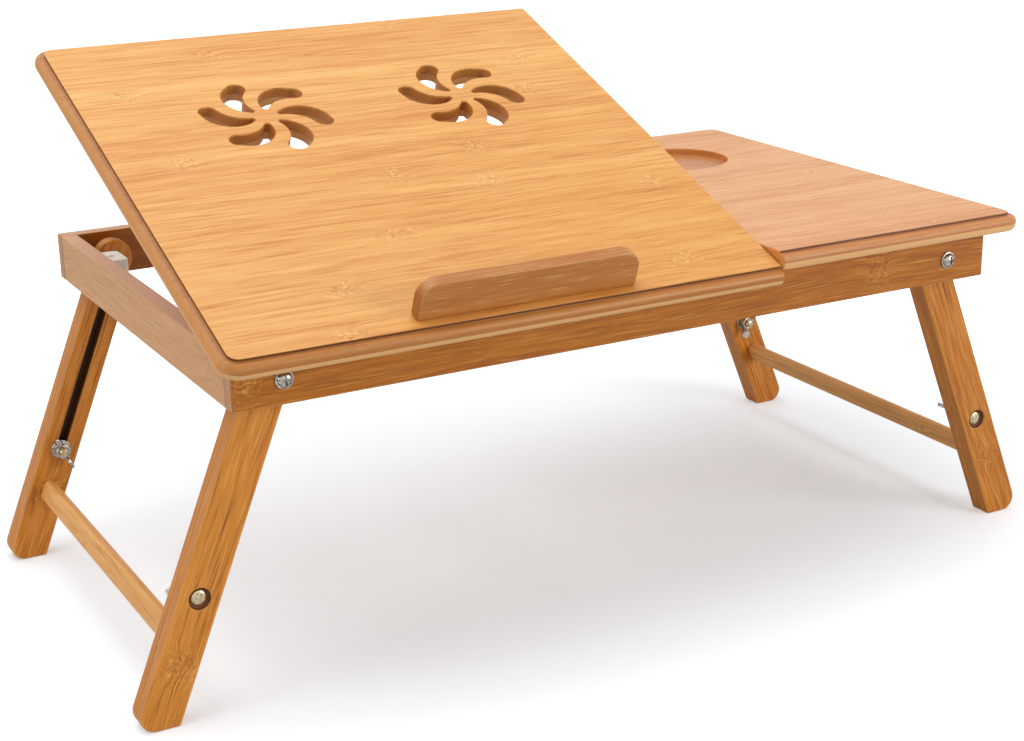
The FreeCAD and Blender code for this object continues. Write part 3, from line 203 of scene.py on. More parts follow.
@dataclass(frozen=True)
class Bamboo:
    """Laminated bamboo, planed, sanded and lacquered satin.

    Wide strips are glued side by side, so a board shows soft bands of tone, fine fibres along
    it, a mottled patch where each strip crosses a knuckle of the cane, and a soft sheen. End
    grain takes the lacquer in its own tone. Light and shade are also painted on: light on sawn
    sides, a highlight on eased edges, a reflection on the lower rounding of a rim, shade on
    milled walls, in pockets and on a rail's inner face, and a shadow in the slot of a leg.
    A grain is its length and width in mm, and its detail. The finest fibres are drawn 0.8 mm
    wide, about twice their real width, so that they show.
    """

    name: str
    slot: str
    # hues of the strips, their fibres and end grain, and of the painted light, highlight, reflection, shade
    # and shadow
    pale: str = "#EFB464"
    deep: str = "#D78833"
    fibre: str = "#B36A22"
    fleck: str = "#A5601F"
    # pale fibres and flecks, and the painted highlight on eased edges
    glint: str = "#FBD08A"
    # darker band below the face; on the rails it is painted shade on their inner faces
    cut: str = "#984E0A"
    # painted reflection of the pale floor on the lower rounding of a rim
    layer: str = "#E9B87A"
    # painted light on the sawn sides, as those sides look lit
    side: str = "#D29A66"
    # painted shade on milled walls and in pockets
    recess_shade: str = "#542806"
    end: str = "#9C5716"
    # painted shadow in the slot of a sliding board
    bare: str = "#1C0C02"
    # strips, and the knuckles with how far their ragged patches reach
    strips: tuple[Strip, ...] = ()
    strip_mm: float = 20.6
    knuckle_every_mm: float = 260.0
    knuckle_half_mm: float = 15.0
    knuckle_start_mm: float = 300.0
    knuckle_span_mm: float = 1000.0
    knuckle_edge: Numbers = (1.95, 1.0)
    pinch: float = 1.7
    ragged: float = 1.8
    # grains of the noise, and how far it moves the fibres
    seed_step: float = 13.7
    ragged_grain: Numbers = (11, 8)
    sway_grain: Numbers = (150, 40, 1)
    sway_mm: float = 9.0
    tangle_grain: Numbers = (3.5, 3.5, 1)
    tangle_mm: float = 6.0
    fine_grain: Numbers = (24, 0.8, 3)
    middle_grain: Numbers = (62, 2.6)
    broad_grain: Numbers = (220, 12)
    fleck_grain: Numbers = (2.6, 1.5)
    pore_grain: Numbers = (1.4, 0.9)
    # how far below the face the darker band and the painted reflection begin and end, and how strongly each
    # shows, as do the painted light on sides, the painted highlight on edges, end grain, the dark line at its
    # corners and the glue lines
    cut_below_mm: float = 1.2
    cut_share: float = 0.0
    cuts_until_mm: float = 99.0
    cut_blur_mm: float = 0.4
    reflection_below_mm: float = 6.8
    layer_share: float = 0.0
    side_share: float = 0.0
    edge_share: float = 0.25
    end_share: float = 0.95
    corner_share: float = 0.0
    glue_share: float = 0.22
    # the painted shadow in the slot: half its width, its middle and its half length from the board's upper
    # end
    slot_shadow_half_mm: float = 0.0
    slot_shadow_middle_mm: float = 134.0
    slot_shadow_reach_mm: float = 56.0
    slot_shadow_share: float = 0.93
    # weights of strip, bands and fibres in the tone, and the levels between which marks appear
    fibre_share: float = 0.75
    glint_share: float = 0.35
    strip_weight: float = 0.7
    ground: float = -0.3
    broad_streak: float = 0.9
    streak: float = 1.3
    dark_fibres: Numbers = (0.5, 0.74)
    dense_fibres: Numbers = (0.4, 0.62, 0.15)
    pale_fibres: Numbers = (0.46, 0.28)
    dark_flecks: Numbers = (0.52, 0.66, 0.0, 0.42)
    pale_flecks: Numbers = (0.47, 0.33, 0.0, 0.5)
    pore_walls: Numbers = (0.35, 0.65)
    # relief and gloss of the lacquer
    fibre_relief: float = 0.6
    glue_relief: float = 2.0
    relief_mm: float = 0.12
    relief_share: float = 0.18
    roughness: float = 0.42
    rougher: Numbers = (-0.06, 0.1)
    coat: float = 0.12
    coat_roughness: float = 0.32
    gloss: float = 0.35

    def knuckle_distance(self, node: Adder, along: Socket, index: Socket, board: Socket) -> tuple:
        """Finds the tone of each strip and how far a point lies from the strip's nearest knuckle.

        Args:
            node: Adds a node to the material.
            along: Place along the fibres, mm.
            index: Number of the strip.
            board: Number of the board.

        Returns:
            The strip's tone, and the distance to its nearest knuckle in mm.
        """
        if not self.strips:
            seeds = node("ShaderNodeTexWhiteNoise", node(POINT, index, board), out="Color",
                         noise_dimensions="2D")
            shift, tone, _ = node("ShaderNodeSeparateColor", seeds).node.outputs
            turn = node(Sum.MULTIPLY_ADD, along, 1 / self.knuckle_every_mm, shift)
            turn = node(Sum.FRACT, turn)
            turn = node(Sum.SUBTRACT, turn, 0.5)
            turn = node(Sum.ABSOLUTE, turn)
            return tone, node(Sum.MULTIPLY, turn, self.knuckle_every_mm)
        many = len(self.strips)
        share = node(Sum.MULTIPLY_ADD, index, 1 / many, 0.5 / many)
        facts = node("ShaderNodeValToRGB", share)
        table = facts.node.color_ramp
        table.interpolation = "CONSTANT"
        unseen = -200.0
        for number, strip in enumerate(self.strips):
            stop = table.elements[0] if number == 0 else table.elements.new(number / many)
            places = [(mm + self.knuckle_start_mm) / self.knuckle_span_mm
                      for mm in (*strip.knuckles, unseen, unseen)[:2]]
            stop.color = (*places, strip.tone, 1)
        table.elements.remove(table.elements[-1])
        *knuckles, tone = node("ShaderNodeSeparateColor", facts).node.outputs
        distances = []
        for knuckle in knuckles:
            away = node(Sum.MULTIPLY_ADD, knuckle, -self.knuckle_span_mm, self.knuckle_start_mm)
            away = node(Sum.ADD, away, along)
            distances.append(node(Sum.ABSOLUTE, away))
        return tone, node(Sum.MINIMUM, *distances)

    @staticmethod
    def noise(node: Adder, seed: Socket, place: Socket, grain: Numbers) -> Socket:
        """Adds noise that is drawn out along the fibres.

        Args:
            node: Adds a node to the material.
            seed: Number that sets one board's noise apart from another's.
            place: Place along, across and below the board's face, mm.
            grain: Length and width of a grain in mm, and the noise's detail where it isn't 2.

        Returns:
            The noise, from 0 to 1.
        """
        long, wide, detail = (*grain, 2.0)[:3]
        stretched = node(VECTOR_MATH, place, (1 / long, 1 / wide, 1 / wide), operation="MULTIPLY")
        return node(NOISE, stretched, seed, {"Scale": 1.0, "Detail": detail}, noise_dimensions="4D")

    def material(self) -> bpy.types.Material:
        """Builds the node material, which reads the grain, board, cuts and arris attributes.

        Returns:
            The material.
        """
        made, node = new_material(self.name)
        place = node(ATTRIBUTE, out="Vector", attribute_name="grain")
        board = node(ATTRIBUTE, out="Fac", attribute_name="board")
        cuts = node(ATTRIBUTE, out="Vector", attribute_name="cuts")
        arris = node(ATTRIBUTE, out="Fac", attribute_name="arris")
        end_grain, side, recess_shade = node("ShaderNodeSeparateXYZ", cuts).node.outputs
        place = node(VECTOR_MATH, place, {"Scale": 1 / MM}, operation="SCALE")
        axes = node("ShaderNodeSeparateXYZ", place).node.outputs
        along, across, depth = axes
        seed = node(Sum.MULTIPLY, board, self.seed_step)
        noise = functools.partial(self.noise, node, seed)

        # strips and their knuckles, ragged patches that narrow towards the strip's edges
        strips = node(Sum.DIVIDE, across, self.strip_mm)
        index = node(Sum.FLOOR, strips)
        in_strip = node(Sum.FRACT, strips)
        tone, away = self.knuckle_distance(node, along, index, board)
        centred = node(Sum.MULTIPLY_ADD, in_strip, self.pinch, -0.5 * self.pinch)
        away = node(Sum.MULTIPLY, away, 1 / self.knuckle_half_mm)
        reach = node(VECTOR_MATH, node(POINT, away, centred), out="Value", operation="LENGTH")
        reach = node(Sum.MULTIPLY_ADD, noise(place, self.ragged_grain), self.ragged, reach)
        knuckle = node(MAP_RANGE, reach, *self.knuckle_edge, interpolation_type="SMOOTHSTEP")

        # fibres sway a little along the board and tangle in a knuckle
        sway = node(Sum.MULTIPLY, noise(place, self.sway_grain), self.sway_mm)
        tangle = node(Sum.MULTIPLY, noise(place, self.tangle_grain), knuckle)
        sway = node(Sum.MULTIPLY_ADD, tangle, self.tangle_mm, sway)
        swayed = node(VECTOR_MATH, place, node(POINT, 0.0, sway), operation="ADD")
        fine, middle, broad, flecks = (noise(swayed, grain) for grain in (
            self.fine_grain, self.middle_grain, self.broad_grain, self.fleck_grain))

        # tone of the board, with its dark and pale fibres
        tone = node(Sum.MULTIPLY_ADD, tone, self.strip_weight, self.ground - 0.5 * self.streak)
        tone = node(Sum.MULTIPLY_ADD, broad, self.broad_streak, tone)
        tone = node(Sum.MULTIPLY_ADD, middle, self.streak, tone)
        colour = mix_hue(node, linear(self.pale), self.deep, tone)
        dark = node(MAP_RANGE, fine, *self.dark_fibres)
        dense = node(MAP_RANGE, middle, *self.dense_fibres)
        colour = mix_hue(node, colour, self.fibre, dark, dense, self.fibre_share)
        light = node(MAP_RANGE, fine, *self.pale_fibres, 0.0, self.glint_share)
        colour = mix_hue(node, colour, self.glint, light)

        # mottled flecks of a knuckle, about 2 mm long on the real cane
        for hue, marks in ((self.fleck, self.dark_flecks), (self.glint, self.pale_flecks)):
            colour = mix_hue(node, colour, hue, node(MAP_RANGE, flecks, *marks), knuckle)

        # glue line between strips, drawn wider than its real 0.1 mm so that it shows
        edge = node(Sum.SUBTRACT, in_strip, 0.5)
        edge = node(Sum.ABSOLUTE, edge)
        glue = node(MAP_RANGE, edge, 0.5 - 0.5 / self.strip_mm, 0.5, 0.0, self.glue_share)
        colour = mix_hue(node, colour, self.fibre, glue)

        # darker band below the face, which on the rails is painted shade on their inner faces, painted
        # reflection on the lower rounding of a rim, painted light on sawn sides, painted highlight on eased
        # edges, end grain, and painted shade on milled walls and in pockets
        above = node(Sum.LESS_THAN, depth, self.cuts_until_mm)
        for start, share, hue in ((self.cut_below_mm, self.cut_share, self.cut),
                                  (self.reflection_below_mm, self.layer_share, self.layer)):
            below = node(MAP_RANGE, depth, start, start + self.cut_blur_mm, 0.0, share)
            colour = mix_hue(node, colour, hue, below, above)
        pores = node(MAP_RANGE, noise(place, self.pore_grain), *self.pore_walls,
                     self.end_share - 0.5, self.end_share)
        turned = node(Sum.SUBTRACT, 1.0, end_grain)
        # sides get painted light, eased edges a painted highlight, end grain its own tone and pores, and
        # milled walls and pockets painted shade
        for hue, *shares in ((self.side, side, self.side_share), (self.glint, arris, self.edge_share),
                             (self.end, pores, end_grain),
                             (self.fibre, turned, end_grain, 4 * self.corner_share),
                             (self.recess_shade, recess_shade)):
            colour = mix_hue(node, colour, hue, *shares)
        if self.slot_shadow_half_mm:
            colour = self.paint_slot_shadow(node, colour, axes)

        # satin lacquer that sinks a little between the fibres and at the glue lines
        rough = node(MAP_RANGE, fine, 0.3, 0.7, *(self.roughness + more for more in self.rougher))
        height = node(Sum.MULTIPLY_ADD, fine, self.fibre_relief, flecks)
        height = node(Sum.MULTIPLY_ADD, glue, -self.glue_relief, height)
        bump = node(BUMP, {"Height": height, "Strength": self.relief_share, "Distance": self.relief_mm * MM})
        shader = node(SHADER, {
            "Base Color": colour, "Roughness": rough, "Normal": bump, "IOR": 1.5,
            "Specular IOR Level": self.gloss, "Coat Weight": self.coat,
            "Coat Roughness": self.coat_roughness})
        node(OUTPUT, shader)
        return made

    def paint_slot_shadow(self, node: Adder, colour: Socket, place: bpy.types.bpy_prop_collection) -> Socket:
        """Paints the shadow in the slot of the sliding board, a dark strip on the inner face behind the slot.

        Args:
            node: Adds a node to the material.
            colour: Colour of the board.
            place: Place along, across and below the board's face, mm.

        Returns:
            The colour with its painted shadow.
        """
        from_middle = []
        for socket, middle in ((place[0], self.slot_shadow_middle_mm), (place[1], 0.5 * LEG_WIDTH_MM)):
            away = node(Sum.SUBTRACT, socket, middle)
            from_middle.append(node(Sum.ABSOLUTE, away))
        blur = 0.3
        track = node(MAP_RANGE, from_middle[1], self.slot_shadow_half_mm + blur, self.slot_shadow_half_mm - blur, 0.0,
                     self.slot_shadow_share)
        inner = node(Sum.GREATER_THAN, place[2], OUTER_BOARD_MM - 0.5)
        near = node(Sum.LESS_THAN, from_middle[0], self.slot_shadow_reach_mm)
        return mix_hue(node, colour, self.bare, track, inner, near)


@dataclass(frozen=True)
class ZincSteel:
    """Steel hardware, turned or pressed and zinc plated: bright metal with smoky blotches."""

    name: str = "bright_zinc_steel"
    slot: str = "zinc_steel"
    bright: str = "#D6D1C8"
    dull: str = "#7E776D"
    roughness: float = 0.2

    def material(self) -> bpy.types.Material:
        """Builds the node material on Object coordinates, with 1.5 mm blotches of plating.

        Returns:
            The material.
        """
        made, node = new_material(self.name)
        place = node("ShaderNodeTexCoord", out="Object")
        blotch = node(NOISE, place, {"Scale": 0.6 / MM, "Detail": 3.0})
        scratch = node(NOISE, place, {"Scale": 4.0 / MM, "Detail": 2.0})
        smoky = node(MAP_RANGE, blotch, 0.38, 0.68)
        rough = node(MAP_RANGE, blotch, 0.3, 0.7, self.roughness - 0.06, self.roughness + 0.12)
        bump = node(BUMP, {"Height": scratch, "Strength": 0.12, "Distance": 0.03 * MM})
        shader = node(SHADER, {
            "Base Color": mix_hue(node, linear(self.bright), self.dull, smoky), "Roughness": rough,
            "Metallic": 1.0, "Normal": bump})
        node(OUTPUT, shader)
        return made


@dataclass(frozen=True)
class WhiteNylon:
    """Nylon, injection moulded: milky white, softly glossy, light passes a little way in."""

    name: str = "white_moulded_nylon"
    slot: str = "white_nylon"
    milk: str = "#FBFAF7"
    shade: str = "#F1F0EB"
    roughness: float = 0.38

    def material(self) -> bpy.types.Material:
        """Builds the node material on Object coordinates, with the fine texture of an eroded mould.

        Returns:
            The material.
        """
        made, node = new_material(self.name)
        place = node("ShaderNodeTexCoord", out="Object")
        flow = node(NOISE, place, {"Scale": 0.12 / MM, "Detail": 2.0})
        grit = node(NOISE, place, {"Scale": 2.5 / MM, "Detail": 2.0})
        rough = node(MAP_RANGE, grit, 0.0, 1.0, self.roughness - 0.06, self.roughness + 0.1)
        bump = node(BUMP, {"Height": grit, "Strength": 0.15, "Distance": 0.05 * MM})
        shader = node(SHADER, {
            "Base Color": mix_hue(node, linear(self.milk), self.shade, flow), "Roughness": rough,
            "Normal": bump, "IOR": 1.53, "Subsurface Weight": 0.15, "Subsurface Scale": 1.5 * MM})
        node(OUTPUT, shader)
        return made


TILT_STRIPS = (
    Strip(0.50, (76,)), Strip(0.42, (300,)), Strip(0.55, (89,)), Strip(0.45), Strip(0.60, (140,)),
    Strip(0.48, (330,)), Strip(0.40, (224,)), Strip(0.55, (168,)), Strip(0.62, (229,)),
    Strip(0.45, (47,)), Strip(0.70), Strip(0.55, (300,)), Strip(0.35), Strip(0.12, (42, 317)),
    Strip(0.50), Strip(0.60, (106,)), Strip(0.45, (250,)),
)
# on the tops: a darker band from 1.2 mm below the face, a painted reflection on the lower rounding of the
# rim, a faint painted highlight on eased edges, and end grain
TOP_CUTS = {"cut_share": 0.65, "cuts_until_mm": 11.8, "layer_share": 0.7, "edge_share": 0.1,
            "end": "#DC9242", "end_share": 0.85}
# on the rails: painted light on the narrow sides such as the top edges, painted shade on the inner faces from
# 8.5 mm below the face, a painted highlight on eased edges, and end grain made pinker with painted sheen
RAIL_LOOK = {"pale": "#BA7010", "deep": "#A05504", "fibre": "#84430F", "fleck": "#6A360C",
             "glint": "#E8A850", "side": "#D9A57E", "side_share": 0.7, "edge_share": 0.45,
             "end": "#C2926C", "end_share": 0.85, "strip_mm": 30.5, "gloss": 0.25,
             "fibre_share": 0.9, "glint_share": 0.5, "streak": 2.0, "cut": "#8A5218",
             "cut_below_mm": 8.5, "cut_share": 0.5, "corner_share": 0.6}
# the left end rail: a paler, pinker copy of the rail bamboo, painted sheen of its outer face lit from the
# left
END_RAIL_SHEEN_LOOK = {**RAIL_LOOK, "pale": "#E0A66C", "deep": "#CC9054", "fibre": "#905E38",
                 "glint": "#DDB18C", "fibre_share": 0.5, "streak": 0.9}
# on the legs: painted light on their sides and a painted highlight on eased edges
LEG_LOOK = {"pale": "#DB8A30", "deep": "#B96A14", "fibre": "#7C3E0C", "fleck": "#5E2E0A",
            "glint": "#F2B866", "side": "#C47E3A", "side_share": 0.5, "edge_share": 0.5,
            "strip_mm": 25.5, "knuckle_every_mm": 190, "fibre_share": 1.0, "glint_share": 0.6,
            "streak": 2.1, "gloss": 0.25}


class Finish(Enum):
    """The finishes of the stand's pieces."""

    TILT_TOP = Bamboo("lacquered_bamboo_tilting_top", "bamboo_top", strips=TILT_STRIPS, **TOP_CUTS)
    # the fixed top: its own knuckle spacing, and paler, pinker hues that are painted sheen of its glancing
    # view
    FIXED_TOP = Bamboo("lacquered_bamboo_fixed_top", "bamboo_top", pale="#EDB278",
                       deep="#D6884A", knuckle_every_mm=310, **{**TOP_CUTS, "cut_share": 0.45})
    LEDGE = Bamboo("lacquered_bamboo_ledge", "bamboo_top", pale="#C4803A", deep="#A96020",
                   strips=(Strip(0.5),), strip_mm=30)
    RAIL = Bamboo("lacquered_bamboo_rail", "bamboo_frame", strips=(Strip(0.5, (8, 433)),), **RAIL_LOOK)
    END_RAIL = Bamboo("lacquered_bamboo_end_rail", "bamboo_frame", **END_RAIL_SHEEN_LOOK)
    # the upper legs carry the painted shadow in the slot of the sliding board
    LEG = Bamboo("lacquered_bamboo_leg", "bamboo_leg", slot_shadow_half_mm=3.4, **LEG_LOOK)
    LEFT_SLIDER = Bamboo("lacquered_bamboo_left_slider", "bamboo_leg", strips=(Strip(0.5, (50,)),),
                         **LEG_LOOK)
    RIGHT_SLIDER = Bamboo("lacquered_bamboo_right_slider", "bamboo_leg", strips=(Strip(0.5, (106,)),),
                          **LEG_LOOK)
    LIGHT = Bamboo("oiled_bamboo_pale", "bamboo_light", pale="#E9AE66", deep="#D28C40",
                   strip_mm=15.0, coat=0.08, roughness=0.5, gloss=0.3)
    STEEL = ZincSteel()
    BOLT = ZincSteel("polished_yellow_zinc_steel", "zinc_steel", "#E8D3AE", "#A8906A", 0.15)
    NYLON = WhiteNylon()

    @functools.cached_property
    def made(self) -> bpy.types.Material:
        """The finish's material, built once."""
        return self.value.material()


# ---------------- meshes

def merged_copy(node: str) -> bmesh.types.BMesh:
    """Copies a node's solid with its loose triangles joined and its flat faces made whole.

    Args:
        node: CAD node.

    Returns:
        The copy, which its user frees.
    """
    bm = bmesh.new()
    bm.from_mesh(frame["nodes"][node].data)
    bmesh.ops.remove_doubles(bm, verts=bm.verts, dist=MERGE)
    bmesh.ops.dissolve_limit(bm, angle_limit=math.radians(FLAT_DEGREES), verts=bm.verts, edges=bm.edges)
    return bm


def connected(left: set, near: Callable[[object], set]) -> Iterator[list]:
    """Splits edges or vertices into connected groups.

    Args:
        left: What to split; the groups are taken out of it.
        near: Gives the neighbours of one of them.

    Returns:
        The members of each group.
    """
    while left:
        group, todo = [], [left.pop()]
        while todo:
            one = todo.pop()
            group.append(one)
            found = near(one) & left
            left -= found
            todo.extend(found)
        yield group


def link_object(name: str, data: bpy.types.ID) -> bpy.types.Object:
    """Adds a new object to the scene.

    Args:
        name: Name of the object.
        data: Its mesh, light or camera.

    Returns:
        The object.
    """
    added = bpy.data.objects.new(name, data)
    bpy.context.scene.collection.objects.link(added)
    return added


def new_piece(name: str, bm: bmesh.types.BMesh) -> bpy.types.Object:
    """Adds a new object made from a bmesh, and frees the bmesh.

    Args:
        name: Name of the piece.
        bm: Its mesh.

    Returns:
        The object.
    """
    mesh = bpy.data.meshes.new(name)
    bm.to_mesh(mesh)
    bm.free()
    return link_object(name, mesh)


def bake_modifiers(piece: bpy.types.Object) -> None:
    """Turns an object and its modifiers into a plain mesh.

    Args:
        piece: Object whose modifiers are run and cleared.
    """
    bpy.context.view_layer.update()
    graph = bpy.context.evaluated_depsgraph_get()
    plain = bpy.data.meshes.new_from_object(piece.evaluated_get(graph), depsgraph=graph)
    piece.modifiers.clear()
    piece.data = plain


def place_piece(piece: bpy.types.Object, nodes: tuple[str, ...], finish: Finish) -> None:
    """Gives a piece its finish and puts it on the body of the nodes that it stands for.

    Args:
        piece: Finished object at the origin.
        nodes: CAD nodes that the piece replaces, all of one body.
        finish: What the piece is made of.
    """
    piece.data.materials.clear()
    piece.data.materials.append(finish.made)
    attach(piece, frame["nodes"][nodes[0]]["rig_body"])
    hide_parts(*nodes)
    log.info("%s: %d faces, %s", piece.name, len(piece.data.polygons), finish.value.name)


def eased(node: str, name: str, ease_mm: float, hole_ease_mm: float = 0.3, segments: int = 3,
          hole_span_mm: float = 16.0) -> bpy.types.Object:
    """Copies a node's solid and rounds its edges over, holes less than the outside.

    Args:
        node: CAD node.
        name: Name of the new piece.
        ease_mm: Width of the rounding on long edges.
        hole_ease_mm: Width of the rounding on rims of small holes and pockets.
        segments: Steps of each rounding.
        hole_span_mm: Rims that span less than this count as small.

    Returns:
        The eased piece, a plain mesh.
    """
    bm = merged_copy(node)
    weights = bm.edges.layers.float.new("bevel_weight_edge")
    sharp = {e for e in bm.edges if e.is_manifold and e.calc_face_angle(0.0) > math.radians(SHARP_DEGREES)}
    for chain in connected(sharp, lambda edge: {e for vert in edge.verts for e in vert.link_edges}):
        corners = np.array([v.co for e in chain for v in e.verts])
        span = float(np.linalg.norm(corners.max(0) - corners.min(0)))
        weight = 1.0 if span > hole_span_mm * MM else hole_ease_mm / ease_mm
        for edge in chain:
            edge[weights] = weight
    piece = new_piece(name, bm)
    bevel = piece.modifiers.new("ease", "BEVEL")
    bevel.limit_method, bevel.width, bevel.segments = "WEIGHT", ease_mm * MM, segments
    bevel.use_clamp_overlap = bevel.loop_slide = False
    bake_modifiers(piece)
    hold_flats(piece)
    return piece


def hold_flats(piece: bpy.types.Object, least_cosine: float = 0.7) -> None:
    """Shades a piece smooth, each corner led by the widest faces round it, so that flats stay flat.

    Args:
        piece: Plain mesh object.
        least_cosine: Faces share a smooth corner when their normals' cosine is more than this.
    """
    smooth_faces(piece)
    bm = bmesh.new()
    bm.from_mesh(piece.data)
    weighted = [face.normal * (face.calc_area() / MM ** 2) ** 2 for face in bm.faces]
    normals = []
    for face in bm.faces:
        for loop in face.loops:
            near = (weighted[other.index] for other in loop.vert.link_faces
                    if other.normal.dot(face.normal) > least_cosine)
            normals.append(sum(near, Vector()).normalized())
    bm.free()
    piece.data.normals_split_custom_set(normals)


def smooth_faces(piece: bpy.types.Object) -> None:
    """Shades every face smooth."""
    piece.data.polygons.foreach_set("use_smooth", np.ones(len(piece.data.polygons), bool))


def main_normal(node: str) -> Vector:
    """Finds the direction that a node's largest flat face looks in.

    Args:
        node: CAD node of a board.

    Returns:
        The face's normal.
    """
    areas: dict[tuple, float] = {}
    for face in frame["nodes"][node].data.polygons:
        key = tuple(round(c, 3) for c in face.normal)
        areas[key] = areas.get(key, 0.0) + face.area
    return Vector(max(areas, key=lambda key: (round(areas[key], 8), key))).normalized()


def inset(points: np.ndarray, probes: np.ndarray) -> np.ndarray:
    """Measures how far probes lie inside the convex outline of points in a plane.

    Args:
        points: The points, one a row.
        probes: The probes, one a row.

    Returns:
        Each probe's distance from the outline.
    """
    ring = points[geometry.convex_hull_2d([tuple(point) for point in points])]
    sides = np.roll(ring, -1, 0) - ring
    lengths = np.linalg.norm(sides, axis=1)
    real = lengths > 10 * MERGE
    sides = sides[real] / lengths[real, None]
    away = probes[:, None] - ring[real]
    return np.abs(away[..., 0] * sides[:, 1] - away[..., 1] * sides[:, 0]).min(1)


def ramp(values: np.ndarray, low: float, high: float) -> np.ndarray:
    """Share from 0 at the low value to 1 at the high one."""
    return np.clip((values - low) / (high - low), 0, 1)


@dataclass(frozen=True)
class Board:
    """A planed board of laminated bamboo, with its fibres along one direction.

    Its inner and pocket shares say how dark the painted shade is, from 0 to 1, on the walls of
    cuts inside the board's rim and on the walls of pockets in its faces. The slopes are the parts
    of a normal between which it comes to count as end grain, as a sawn side, which gets painted light, and as
    an eased edge, which gets a painted highlight.
    """

    node: str
    along: Vector
    finish: Finish
    ease_mm: float = 1.0
    hole_ease_mm: float = 0.3
    seed: float = 0.0
    hole_span_mm: float = 16.0
    inner_recess_shade: float = 1.0
    pocket_shade_share: float = 0.0
    milled_mm: Numbers = (2.0, 4.0)
    most_milled: float = 0.9
    inner_from_mm: float = 9.0
    pocket_from_mm: float = 4.0
    pocket_below_mm: float = 1.0
    end_slope: Numbers = (0.45, 0.95)
    side_slope: Numbers = (0.6, 0.95)
    arris_slope: Numbers = (0.0, 0.29)

    def build(self) -> None:
        """Builds the eased board, draws its grain on it and places it."""
        piece = eased(self.node, f"{self.node}_board", self.ease_mm, self.hole_ease_mm,
                      hole_span_mm=self.hole_span_mm)
        self.draw_grain(piece)
        place_piece(piece, (self.node,), self.finish)

    def draw_grain(self, piece: bpy.types.Object) -> None:
        """Writes each point's place along, across and below the board's outer face, and the masks of its end
        grain, of painted light on sides, of a painted highlight on edges and of painted shade on milled
        walls.

        Args:
            piece: Plain mesh object of this board.
        """
        mesh = piece.data
        points = np.empty(len(mesh.vertices) * 3, np.float32)
        mesh.vertices.foreach_get("co", points)
        points = points.reshape(-1, 3)
        out = main_normal(self.node)
        if np.array(out) @ points.mean(0) < 0:
            out = -out
        along = (self.along - out * self.along.dot(out)).normalized()
        turn = np.array((along, out.cross(along), -out)).T
        places = points @ turn
        lowest = places.min(0)
        places = places - lowest
        centres = np.array([face.center for face in mesh.polygons]) @ turn - lowest
        inside = inset(places[:, :2], centres[:, :2]) / MM
        from_face = np.minimum(centres[:, 2], places[:, 2].max() - centres[:, 2]) / MM
        pocket = (from_face > self.pocket_below_mm) & (inside > self.pocket_from_mm)
        corners = [face.loop_total for face in mesh.polygons]
        inside, pocket = np.repeat(inside, corners), np.repeat(pocket, corners)
        slopes = np.abs(np.array([corner.vector for corner in mesh.corner_normals]) @ turn)
        # painted shade on the walls of cuts inside the rim and in pockets
        milled = np.minimum(ramp(inside, *self.milled_mm), self.most_milled)
        milled *= np.where(inside > self.inner_from_mm, self.inner_recess_shade, 1.0)
        recess_shade = np.maximum((1 - slopes[:, 2]) * milled, pocket * self.pocket_shade_share)
        # end grain, and the sides that get painted light
        ends, sides = ramp(slopes[:, 0], *self.end_slope), ramp(slopes[:, 1], *self.side_slope)
        cuts = np.stack((ends, sides, recess_shade), 1)
        # eased edges, which get a painted highlight
        arris = ramp(1 - slopes.max(1), *self.arris_slope)
        seeds = np.full(len(points), self.seed)
        for name, domain, values in (("grain", "POINT", places), ("board", "POINT", seeds),
                                     ("cuts", "CORNER", cuts), ("arris", "CORNER", arris)):
            kind, key = ("FLOAT_VECTOR", "vector") if values.ndim == 2 else ("FLOAT", "value")
            layer = mesh.attributes.new(name, kind, domain)
            layer.data.foreach_set(key, values.astype(np.float32).ravel())


# ---------------- turned hardware

@dataclass(frozen=True)
class TurnedPlace:
    """Where one screw, washer or nut lies: the end at its head, its axis and its length."""

    top: Vector
    axis: Vector
    length: float
    radius: float


def turned_places(node: str) -> list[TurnedPlace]:
    """Finds each turned solid of a node from its joined points.

    Args:
        node: CAD node of screws, washers, spacers or nuts.

    Returns:
        One place for each solid, its axis pointing out of its wider end, or to the right, the
        back or up where both ends are alike.
    """
    bm = merged_copy(node)
    places = []
    for solid in connected(set(bm.verts), lambda vert: {e.other_vert(vert) for e in vert.link_edges}):
        points = np.array([vert.co for vert in sorted(solid, key=lambda vert: vert.index)])
        middle = (points.max(0) + points.min(0)) / 2
        values, axes = np.linalg.eigh(np.cov((points - points.mean(0)).T))
        odd = 0 if abs(values[1] - values[0]) > abs(values[2] - values[1]) else 2
        axis = axes[:, odd]
        heights = (points - middle) @ axis
        radii = np.linalg.norm(points - middle - np.outer(heights, axis), axis=1)
        wider = radii[heights > 0].mean() - radii[heights < 0].mean()
        if abs(wider) < MERGE:
            wider = axis[np.abs(axis).argmax()]
        if wider < 0:
            axis, heights = -axis, -heights
        places.append(TurnedPlace(Vector(middle + axis * heights.max()), Vector(axis),
                                  float(heights.max() - heights.min()), float(radii.max())))
    bm.free()
    return sorted(places, key=lambda p: tuple(round(c, 4) for c in p.top))


